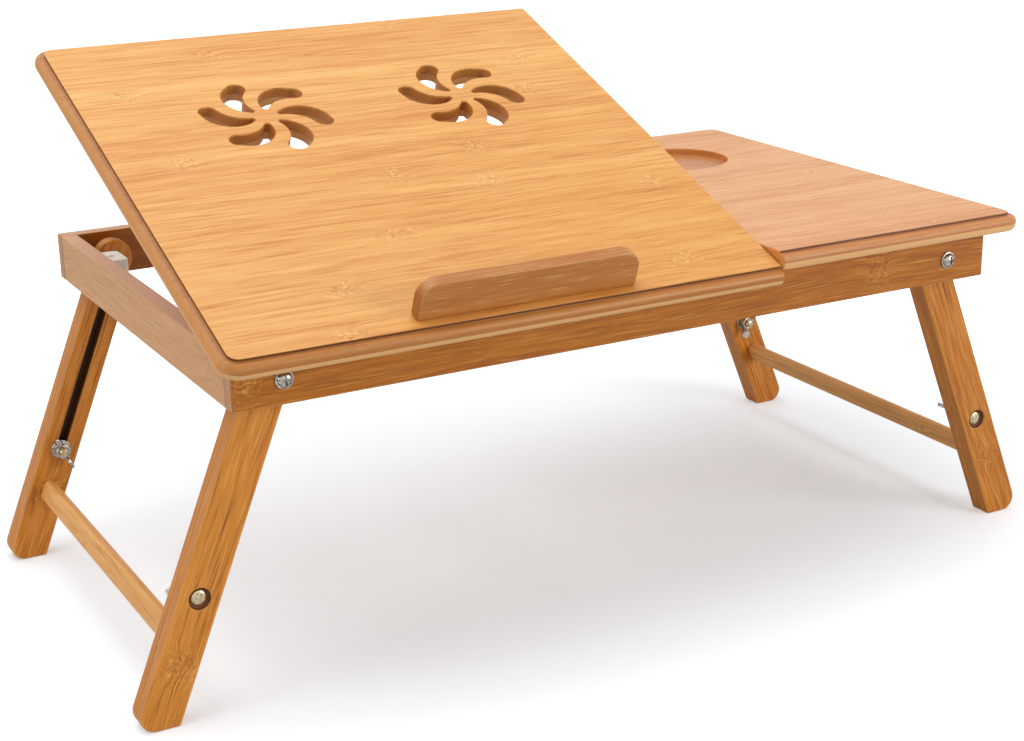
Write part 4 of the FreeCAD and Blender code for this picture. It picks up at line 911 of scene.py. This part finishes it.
class Tree:
    """A Geometry Nodes tree with named size inputs that puts one made thing on each point."""

    def __init__(self, name: str, sizes: tuple[str, ...]) -> None:
        """Starts the tree.

        Args:
            name: Name of the tree.
            sizes: Names of its float inputs.
        """
        self.tree = bpy.data.node_groups.new(name, "GeometryNodeTree")
        self.sockets: dict[str, str] = {}
        for socket, way, kind in (("Geometry", "INPUT", "Geometry"), *((s, "INPUT", "Float") for s in sizes),
                                  ("Finish", "INPUT", "Material"), ("Geometry", "OUTPUT", "Geometry")):
            made = self.tree.interface.new_socket(socket, in_out=way, socket_type=f"NodeSocket{kind}")
            self.sockets[socket] = made.identifier
        self.node = functools.partial(add_node, self.tree)
        self.inputs = self.node("NodeGroupInput").node.outputs

    def swept(self, section: Socket, radius: object, around: int) -> Socket:
        """Sweeps a section round a circle about Z.

        Args:
            section: Curve in the XY plane.
            radius: Radius of the circle.
            around: Number of steps around the axis.

        Returns:
            The swept mesh.
        """
        path = self.node("GeometryNodeCurvePrimitiveCircle", {"Resolution": around, "Radius": radius})
        path = self.node("GeometryNodeSetCurveNormal", path, mode="Z_UP")
        return self.node("GeometryNodeCurveToMesh", path, section)

    def turn_profile(self, lines: list[Socket], around: int = 28) -> Socket:
        """Turns profile curves about Z into one closed mesh.

        Args:
            lines: Curves in the XY plane, X the radius and Y the height.
            around: Number of steps around the axis.

        Returns:
            The turned mesh.
        """
        profile = self.node("GeometryNodeJoinGeometry", lines)
        moved = self.node(TRANSFORM, profile, {"Translation": (-MM, 0, 0), "Scale": (1, -1, 1)})
        turned = self.swept(moved, MM, around)
        return self.node("GeometryNodeMergeByDistance", turned, {"Distance": 0.004 * MM})

    def lowered(self, thing: Socket, size: Socket, share: float = 0.5) -> Socket:
        """Moves a thing down its axis by a share of a size.

        Args:
            thing: Mesh about Z.
            size: Size socket that the move is measured by.
            share: Share of the size.

        Returns:
            The moved thing.
        """
        down = self.node(Sum.MULTIPLY, size, -share)
        return self.node(TRANSFORM, thing, {"Translation": self.node(POINT, 0.0, 0.0, down)})

    def end(self, thing: Socket) -> None:
        """Puts the thing on each point along its axis attribute, makes it real and sets its finish.

        Args:
            thing: Mesh about Z with its top at the origin.
        """
        axis = self.node("GeometryNodeInputNamedAttribute", "axis", data_type="FLOAT_VECTOR")
        turn = self.node("FunctionNodeAlignRotationToVector", {"Vector": axis}, axis="Z")
        many = self.node("GeometryNodeInstanceOnPoints", self.inputs[0], {"Instance": thing,
                                                                          "Rotation": turn})
        real = self.node("GeometryNodeRealizeInstances", many)
        dressed = self.node("GeometryNodeSetMaterial", real, {"Material": self.inputs["Finish"]})
        self.node("NodeGroupOutput", dressed)

    def make(self, name: str, node: str, places: list[TurnedPlace], sizes_mm: dict[str, float],
             finish: Finish) -> None:
        """Runs the tree on a set of places and stands its result for a CAD node.

        Args:
            name: Name of the piece.
            node: CAD node that it replaces.
            places: Top point and axis of each thing.
            sizes_mm: Value of each size input.
            finish: What the things are made of.
        """
        bm = bmesh.new()
        axis_layer = bm.verts.layers.float_vector.new("axis")
        for place in places:
            bm.verts.new(place.top)[axis_layer] = place.axis
        piece = new_piece(name, bm)
        modifier = piece.modifiers.new("turned", "NODES")
        modifier.node_group = self.tree
        for size, value in sizes_mm.items():
            modifier[self.sockets[size]] = value * MM
        modifier[self.sockets["Finish"]] = finish.made
        bake_modifiers(piece)
        bm = bmesh.new()
        bm.from_mesh(piece.data)
        bmesh.ops.remove_doubles(bm, verts=bm.verts, dist=MERGE)
        bmesh.ops.recalc_face_normals(bm, faces=bm.faces)
        bm.to_mesh(piece.data)
        bm.free()
        smooth_faces(piece)
        piece.data.set_sharp_from_angle(angle=math.radians(TURNED_SHARP_DEGREES))
        place_piece(piece, (node,), finish)


def screw_tree() -> Tree:
    """Builds the tree of a screw or bolt: domed or countersunk head, cross, rolled thread and tip.

    Returns:
        The tree.
    """
    made = Tree("cross_head_screw", ("Head Radius", "Head Height", "Head Edge", "Countersink", "Shank Radius",
                                     "Length", "Tip", "Thread Pitch", "Thread Start", "Thread Height",
                                     "Cross Long", "Cross Wide", "Cross Deep"))
    node = made.node
    head, high, edge, sink, shank, length, tip, pitch, begin, crest, long, wide, deep = made.inputs[1:14]
    shoulder_share, point_share = 0.8, 0.12
    rim = node(Sum.SUBTRACT, edge, high)
    seat = node(Sum.MULTIPLY, high, -1.0)
    neck = node(Sum.SUBTRACT, seat, sink)
    foot = node(Sum.SUBTRACT, tip, length)
    point = node(Sum.MULTIPLY, length, -1.0)
    shoulder = node(Sum.MULTIPLY, head, shoulder_share)
    tip_radius = node(Sum.MULTIPLY, shank, point_share)
    lines = [node("GeometryNodeCurveQuadraticBezier", {
        "Resolution": 7, "Start": node(POINT, 0.0, 0.0), "Middle": node(POINT, shoulder, 0.0),
        "End": node(POINT, head, rim)})]
    stops = [(head, rim), (head, seat), (shank, neck), (shank, foot), (tip_radius, point), (0.0, point)]
    for start, stop in zip(stops, stops[1:]):
        lines.append(node("GeometryNodeCurvePrimitiveLine", {"Start": node(POINT, *start),
                                                             "End": node(POINT, *stop)}))
    body = made.turn_profile(lines)
    twice_deep = node(Sum.MULTIPLY, deep, 2.0)
    bar = node("GeometryNodeMeshCube", node(POINT, long, wide, twice_deep))
    other = node(TRANSFORM, bar, {"Rotation": (0, 0, math.pi / 2)})
    cross = node(BOOLEAN, {1: [bar, other]}, operation="UNION", solver="EXACT")
    notched = node(BOOLEAN, body, cross, operation="DIFFERENCE", solver="EXACT")
    notched = node("GeometryNodeSwitch", {"Switch": deep, "False": body, "True": notched})
    run = node(Sum.ADD, foot, begin)
    turns = node(Sum.DIVIDE, run, pitch)
    turns = node(Sum.ABSOLUTE, turns)
    spiral = node("GeometryNodeCurveSpiral", {"Resolution": 20, "Rotations": turns, "Start Radius": shank,
                                              "End Radius": shank, "Height": run})
    ridge = node("GeometryNodeCurvePrimitiveCircle", {"Resolution": 4, "Radius": crest})
    thread = node("GeometryNodeCurveToMesh", spiral, ridge, {"Fill Caps": True})
    made.end(node("GeometryNodeJoinGeometry", [notched, made.lowered(thread, begin, 1.0)]))
    return made


def ring_tree() -> Tree:
    """Builds the tree of a washer or spacer, a ring with its rims rounded over.

    Returns:
        The tree.
    """
    made = Tree("washer_ring", ("Radius", "Hole", "Thickness", "Ease"))
    node = made.node
    radius, hole, thickness, ease = made.inputs[1:5]
    width = node(Sum.SUBTRACT, radius, hole)
    middle = node(Sum.ADD, radius, hole)
    middle = node(Sum.MULTIPLY, middle, 0.5)
    section = node("GeometryNodeCurvePrimitiveQuadrilateral", width, thickness)
    section = node("GeometryNodeFilletCurve", section, {"Radius": ease, "Count": 3}, mode="POLY")
    made.end(made.lowered(made.swept(section, middle, 36), thickness))
    return made


def hex_nut_tree() -> Tree:
    """Builds the tree of a hexagon nut with turned corners.

    Returns:
        The tree.
    """
    made = Tree("hex_lock_nut", ("Corner Radius", "Hole", "Height"))
    node = made.node
    corner, bore, high = made.inputs[1:4]
    barrel_share = 1.16
    hexagon = node("GeometryNodeMeshCylinder", {"Vertices": 6, "Radius": corner, "Depth": high})
    longer = node(Sum.MULTIPLY, high, 2.0)
    hole = node("GeometryNodeMeshCylinder", {"Vertices": 24, "Radius": bore, "Depth": longer})
    wide = node(Sum.MULTIPLY, corner, barrel_share)
    barrel = node("GeometryNodeMeshUVSphere", {"Segments": 32, "Rings": 24, "Radius": wide})
    turned = node(BOOLEAN, {1: [hexagon, barrel]}, operation="INTERSECT", solver="EXACT")
    nut = node(BOOLEAN, turned, hole, operation="DIFFERENCE", solver="EXACT")
    made.end(made.lowered(nut, high))
    return made


@dataclass(frozen=True)
class Screw:
    """A kind of screw or bolt, sized in mm; its cross has a length, a width and a depth.

    sink is the depth of the cone under the head, sunk the depth of the head in its pocket, and
    narrower how much the head's radius is less than the solid's.
    """

    head_high: float = 0.25
    head_edge: float = 0.1
    sink: float = 1.7
    shank: float = 1.75
    tip: float = 3.5
    pitch: float = 1.6
    thread_from: float = 8.0
    cross: Numbers = (3.0, 0.65, 0.9)
    sunk: float = 0.0
    narrower: float = 0.0
    crest_share: float = 0.22
    finish: Finish = Finish.STEEL

    def sizes(self, place: TurnedPlace) -> dict[str, float]:
        """Value in mm of each size of the screw's tree, for the screws at places like this one."""
        long, wide, deep = self.cross
        return {"Head Radius": place.radius / MM - self.narrower, "Head Height": self.head_high,
                "Head Edge": self.head_edge, "Countersink": self.sink, "Shank Radius": self.shank,
                "Length": place.length / MM, "Tip": self.tip, "Thread Pitch": self.pitch,
                "Thread Start": self.thread_from, "Thread Height": self.crest_share * self.pitch,
                "Cross Long": long, "Cross Wide": wide, "Cross Deep": deep}


@dataclass
class Fasteners:
    """Screws, bolts, washers, spacers and nuts, sized in millimetres as the trade sells them."""

    wood: Screw = Screw()
    crossbar: Screw = replace(wood, tip=3.0)
    brace: Screw = replace(wood, sink=0.9, thread_from=9.0, sunk=0.45, narrower=0.45)
    hinge: Screw = Screw(head_high=0.3, sink=1.2, shank=1.3, tip=2.0, pitch=1.1, thread_from=2.5,
                         cross=(2.8, 0.6, 0.8))
    pivot: Screw = Screw(head_high=2.8, head_edge=0.5, sink=0.02, shank=2.5, tip=0.4, pitch=0.9,
                         thread_from=12.0, cross=(5.2, 1.3, 2.4))
    leg_bolt: Screw = replace(pivot, head_high=1.3, tip=0.5, thread_from=16.0, cross=(1.0, 1.0, 0.0),
                              sunk=0.9, narrower=0.6, finish=Finish.BOLT)
    cap_mm: float = 0.35
    screws: Tree = field(default_factory=screw_tree)
    rings: Tree = field(default_factory=ring_tree)
    nuts: Tree = field(default_factory=hex_nut_tree)

    def make_screws(self, node: str, kind: Screw) -> None:
        """Makes the screws of one node at their places, one piece for each length.

        Args:
            node: CAD node of the screws.
            kind: Sizes and finish of the screws.
        """
        groups: dict[float, list[TurnedPlace]] = {}
        for place in turned_places(node):
            sunk = kind.sunk * MM
            lower = replace(place, top=place.top - place.axis * sunk, length=place.length - sunk)
            groups.setdefault(round(place.length, 4), []).append(lower)
        for places in groups.values():
            name = f"{node}_turned_{round(places[0].length / MM)}"
            self.screws.make(name, node, places, kind.sizes(places[0]), kind.finish)

    def cap_screws(self, node: str, board: Board) -> None:
        """Lays a thin bamboo cap over each sunk screw head, flush with the board.

        Args:
            node: CAD node of the screws.
            board: Board whose grain the caps share.
        """
        bm = bmesh.new()
        thick = self.cap_mm * MM
        places = turned_places(node)
        for place in places:
            turn = place.axis.to_track_quat("Z", "Y").to_matrix().to_4x4()
            bmesh.ops.create_cone(bm, cap_ends=True, segments=32, radius1=place.radius - thick,
                                  radius2=place.radius, depth=thick,
                                  matrix=Matrix.Translation(place.top - place.axis * 0.5 * thick) @ turn)
        piece = new_piece(f"{node}_caps", bm)
        hold_flats(piece)
        board.draw_grain(piece)
        piece.data.materials.append(board.finish.made)
        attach(piece, frame["nodes"][node]["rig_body"])
        log.info("%s: %d caps", piece.name, len(places))

    def make_rings(self, node: str, sizes_mm: Numbers, finish: Finish = Finish.STEEL) -> None:
        """Makes the washers or spacers of one node at their places.

        Args:
            node: CAD node of the rings.
            sizes_mm: Radius, radius of the hole, thickness and easing of the rim.
            finish: What the rings are made of.
        """
        sizes = dict(zip(("Radius", "Hole", "Thickness", "Ease"), sizes_mm))
        self.rings.make(f"{node}_ring", node, turned_places(node), sizes, finish)

    def build(self) -> None:
        """Builds every turned piece."""
        self.make_screws("pivot_screws", self.pivot)
        for hand in ("left", "right"):
            self.make_screws(f"leg_bolts_{hand}", self.leg_bolt)
            self.make_screws(f"crossbar_screws_{hand}", self.crossbar)
            self.make_rings(f"clamp_washers_{hand}", (6.5, 2.65, 1.1, 0.25))
        self.make_screws("rack_screws", self.brace)
        self.cap_screws("rack_screws", Board("front_rail", X_AXIS, Finish.RAIL))
        self.make_screws("lock_block_screws", self.wood)
        for node in ("hinge_screws_frame", "tilt_screws"):
            self.make_screws(node, self.hinge)
        self.make_rings("pivot_washers", (5.45, 2.6, 1.0, 0.25))
        self.make_rings("pivot_spacers", (7.0, 2.6, 5.65, 0.5), Finish.NYLON)
        self.nuts.make("pivot_nuts_hex", "pivot_nuts", turned_places("pivot_nuts"),
                       {"Corner Radius": 4.6, "Hole": 2.5, "Height": 4.0}, Finish.STEEL)


# ---------------- sub-assemblies

@dataclass
class FixedFrame:
    """Rails, stubs and bars that carry the tops, the drawer and the legs."""

    ease_mm: float = 0.6
    bar_ease_mm: float = 0.7
    block_ease_mm: float = 0.5
    hole_ease_mm: float = 0.35

    def build(self) -> None:
        """Builds each board of the frame."""
        rails = (("front_rail", X_AXIS, Finish.RAIL), ("back_rail", X_AXIS, Finish.RAIL),
                 ("left_end_rail", Y_AXIS, Finish.END_RAIL), ("right_end_stub_front", Y_AXIS, Finish.RAIL),
                 ("right_end_stub_back", Y_AXIS, Finish.RAIL))
        for number, (node, along, finish) in enumerate(rails, start=1):
            Board(node, along, finish, self.ease_mm, self.hole_ease_mm, number).build()
        for number, node in enumerate(("middle_bar", "rack_bar"), start=11):
            Board(node, Y_AXIS, Finish.RAIL, self.bar_ease_mm, self.hole_ease_mm, number).build()
        for node in ("leg_lock_block_front", "leg_lock_block_back"):
            place_piece(eased(node, f"{node}_moulded", self.block_ease_mm), (node,), Finish.NYLON)


@dataclass
class Tops:
    """The fixed top with its cup recess, and the tilting top with its two cooling fans and its ledge."""

    rim_ease_mm: float = 0.45
    ledge_ease_mm: float = 1.6
    # painted shade on the walls of the fan openings
    fan_recess_shade: float = 0.14

    def build(self) -> None:
        """Builds the two tops and the stop ledge."""
        for number, (node, finish, recess_shade) in enumerate((("fixed_top", Finish.FIXED_TOP, 0.0),
                                                         ("tilt_top", Finish.TILT_TOP, self.fan_recess_shade)),
                                                        start=21):
            Board(node, X_AXIS, finish, self.rim_ease_mm, seed=number, inner_recess_shade=recess_shade).build()
        Board("stop_ledge", X_AXIS, Finish.LEDGE, self.ledge_ease_mm, seed=23).build()


@dataclass
class TiltHardware:
    """Hinges, their pins, the wire prop and the clips that hold it.

    Each easing is the width of a rounding in mm, then where it isn't the usual one its width
    on holes, its steps and the span of the widest small hole.
    """

    leaf_ease: Numbers = (0.25, 0.12, 2, 6.0)
    pin_ease: Numbers = (0.3, 0.3, 2)
    rod_ease: Numbers = (0.4, 0.4)
    clip_ease: Numbers = (0.8,)

    def build(self) -> None:
        """Builds the leaves, pins, prop and clips."""
        leaves = [(f"hinge_leaf_{part}_{hand}", "pressed", self.leaf_ease, Finish.STEEL)
                  for part in ("frame", "top") for hand in ("left", "right")]
        for node, word, ease, finish in (*leaves,
                                         ("hinge_pins", "drawn", self.pin_ease, Finish.STEEL),
                                         ("prop_rod", "bent", self.rod_ease, Finish.STEEL),
                                         ("prop_clips", "moulded", self.clip_ease, Finish.NYLON)):
            place_piece(eased(node, f"{node}_{word}", *ease), (node,), finish)


@dataclass
class Drawer:
    """The drawer, its runners and its stop."""

    front_ease_mm: float = 1.0
    notch_ease_mm: float = 0.8
    notch_span_mm: float = 50.0
    board_ease_mm: float = 0.6

    def build(self) -> None:
        """Builds the drawer's boards and what carries it."""
        Board("drawer_front", Y_AXIS, Finish.RAIL, self.front_ease_mm, self.notch_ease_mm, 31,
              self.notch_span_mm).build()
        sides = (("drawer_side_front", X_AXIS), ("drawer_side_back", X_AXIS), ("drawer_back", Y_AXIS),
                 ("drawer_bottom", Y_AXIS), ("drawer_runner_front", X_AXIS),
                 ("drawer_runner_back", X_AXIS), ("drawer_stop", Y_AXIS))
        for number, (node, along) in enumerate(sides, start=32):
            Board(node, along, Finish.LIGHT, self.board_ease_mm, seed=number).build()


@dataclass
class LegPair:
    """Two telescoping legs with their crossbar and wing nuts, on one side."""

    hand: str
    seed: float
    slider: Finish
    ease_mm: float = 1.5
    hole_ease_mm: float = 0.4
    bar_ease_mm: float = 1.2
    # painted shade in the bolt pockets
    pocket_shade_share: float = 0.9
    cast_voxel_mm: float = 0.38
    soften_share: float = 0.5
    soften_rounds: int = 6

    def leg_line(self) -> Vector:
        """Direction of the legs, from the joint that the inner boards slide on."""
        return next(Vector(j["axis"]) for j in frame["joints"] if j["name"] == f"{self.hand}_legs_slide")

    def build(self) -> None:
        """Builds the boards, the crossbar and the wing nuts."""
        line = self.leg_line()
        boards = [(part, word, finish) for part, finish in (("upper_leg", Finish.LEG),
                                                            ("extension_leg", self.slider))
                  for word in ("front", "back")]
        for number, (part, word, finish) in enumerate(boards):
            Board(f"{part}_{word}_{self.hand}", line, finish, self.ease_mm, self.hole_ease_mm,
                  self.seed + number, pocket_shade_share=self.pocket_shade_share).build()
        Board(f"crossbar_{self.hand}", Y_AXIS, Finish.LIGHT, self.bar_ease_mm, seed=self.seed + 5).build()
        for word in ("front", "back"):
            self.cast_wing_nut(f"wing_nut_{word}_{self.hand}")

    def cast_wing_nut(self, node: str) -> None:
        """Softens a wing nut as a die casting is: fused fillets and rounded wings.

        Args:
            node: CAD node of the wing nut.
        """
        piece = new_piece(f"{node}_cast", merged_copy(node))
        remesh = piece.modifiers.new("cast", "REMESH")
        remesh.mode, remesh.voxel_size, remesh.use_smooth_shade = "VOXEL", self.cast_voxel_mm * MM, True
        soften = piece.modifiers.new("soften", "SMOOTH")
        soften.factor, soften.iterations = self.soften_share, self.soften_rounds
        bake_modifiers(piece)
        place_piece(piece, (node,), Finish.STEEL)


# ---------------- studio

@dataclass(frozen=True)
class Softbox:
    """A round soft light, in metres and watts."""

    name: str
    place: Numbers
    size: float
    power: float


@dataclass
class Studio:
    """Camera, soft lights, white surroundings and a pale floor."""

    lens_mm: float = 65.445
    sensor_mm: float = 36.0
    clip: Numbers = (0.05, 60.0)
    azimuth: float = 28.517
    elevation: float = 18.288
    roll: float = -1.002
    eye: Numbers = (-0.572849, -1.047742, 0.511602)
    lights: tuple[Softbox, ...] = (Softbox("softbox_overhead", (-0.35, 0.3, 2.0), 2.4, 26.0),
                                   Softbox("softbox_left", (-1.9, -0.3, 0.8), 1.0, 6.0),
                                   Softbox("softbox_front_right", (1.3, -1.8, 0.7), 1.2, 20.0))
    lights_aim: Numbers = (0.0, 0.0, 0.15)
    world_light: float = 0.40
    floor_radius: float = 9.0
    floor_colour: str = "#E1E7ED"
    glow: Numbers = (0.32, 0.78)
    glow_radii: Numbers = (0.3, 0.85)
    glow_stretch: Numbers = (1.0, 1.55, 1.0)
    glow_shift: Numbers = (0.0, -0.1, 0.0)

    def build(self) -> None:
        """Builds the camera, lights, world and floor."""
        self.make_camera()
        self.make_world()
        self.make_lights()
        self.make_floor()
        bpy.context.scene.view_settings.view_transform = "Standard"

    def make_camera(self) -> None:
        """Looks at the stand from the front left, a little above the tops."""
        turn, drop, lean = (math.radians(a) for a in (self.azimuth, self.elevation, self.roll))
        level = math.cos(drop)
        ahead = Vector((math.sin(turn) * level, math.cos(turn) * level, -math.sin(drop)))
        right = Vector((math.cos(turn), -math.sin(turn), 0))
        up = right.cross(ahead)
        right, up = right * math.cos(lean) + up * math.sin(lean), up * math.cos(lean) - right * math.sin(lean)
        data = bpy.data.cameras.new("camera")
        data.lens, data.sensor_width, data.sensor_fit = self.lens_mm, self.sensor_mm, "HORIZONTAL"
        data.clip_start, data.clip_end = self.clip
        camera = link_object("camera", data)
        camera.matrix_world = Matrix.Translation(self.eye) @ Matrix((right, up, -ahead)).transposed().to_4x4()
        bpy.context.scene.camera = camera

    def make_world(self) -> None:
        """White for what the camera, gloss and clear things see, plain light for the rest."""
        world = bpy.data.worlds.new("white_studio")
        bpy.context.scene.world = world
        world.use_nodes = True
        world.node_tree.nodes.clear()
        node = functools.partial(add_node, world.node_tree)
        rays = node("ShaderNodeLightPath").node.outputs
        seen = node(Sum.MAXIMUM, rays["Is Camera Ray"], rays["Is Glossy Ray"])
        seen = node(Sum.MAXIMUM, seen, rays["Is Transmission Ray"])
        strength = node(MAP_RANGE, seen, 0.0, 1.0, self.world_light, 1.0)
        node("ShaderNodeOutputWorld", node("ShaderNodeBackground", (1, 1, 1, 1), strength))

    def make_lights(self) -> None:
        """A large softbox overhead, and weaker ones on the left and at the front right."""
        for light in self.lights:
            data = bpy.data.lights.new(light.name, "AREA")
            data.shape, data.size, data.energy = "DISK", light.size, light.power
            lamp = link_object(light.name, data)
            lamp.location = light.place
            ray = Vector(self.lights_aim) - Vector(light.place)
            lamp.rotation_euler = ray.to_track_quat("-Z", "Y").to_euler()

    def make_floor(self) -> None:
        """Pale matt floor with a glow that only the camera sees: white far off, and weaker near the stand,
        which paints shade round the stand's real soft shadow.
        """
        bm = bmesh.new()
        bmesh.ops.create_circle(bm, cap_ends=True, segments=96, radius=self.floor_radius)
        floor = new_piece("studio_floor", bm)
        made, node = new_material("matt_white_floor")
        place = node("ShaderNodeTexCoord", out="Object")
        mottle = node(NOISE, place, {"Scale": 6.0, "Detail": 2.0})
        rough = node(MAP_RANGE, mottle, 0.0, 1.0, 0.75, 0.9)
        paint = node(SHADER, {"Base Color": linear(self.floor_colour), "Roughness": rough,
                              "Specular IOR Level": 0.1})
        # painted light and shade on the floor: the glow is weaker near the stand and full far off
        away = node(VECTOR_MATH, place, self.glow_stretch, self.glow_shift, operation="MULTIPLY_ADD")
        away = node(VECTOR_MATH, away, out="Value", operation="LENGTH")
        glow = node(MAP_RANGE, away, *self.glow_radii, *self.glow, interpolation_type="SMOOTHSTEP")
        rays = node("ShaderNodeLightPath").node.outputs
        seen = node(Sum.MULTIPLY, rays["Is Camera Ray"], glow)
        both = node("ShaderNodeAddShader", paint, node("ShaderNodeEmission", (1, 1, 1, 1), seen))
        node(OUTPUT, both)
        floor.data.materials.append(made)
        floor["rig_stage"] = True


def write_sizes() -> None:
    """Works out the CAD box and the box of what is shown, in metres, and keeps neither."""
    boxes = {"cad": CAD_BOX, "visual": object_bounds()}
    {name: [list(corner) for corner in box] for name, box in boxes.items()}


def main() -> None:
    """Builds the studio and the stand, and dresses each piece."""
    logging.basicConfig(level=logging.INFO, format="%(name)s: %(message)s")
    Studio().build()
    Tops().build()
    FixedFrame().build()
    Drawer().build()
    TiltHardware().build()
    LegPair("left", 41, Finish.LEFT_SLIDER).build()
    LegPair("right", 51, Finish.RIGHT_SLIDER).build()
    Fasteners().build()
    write_sizes()


if __name__ == "__main__":
    main()
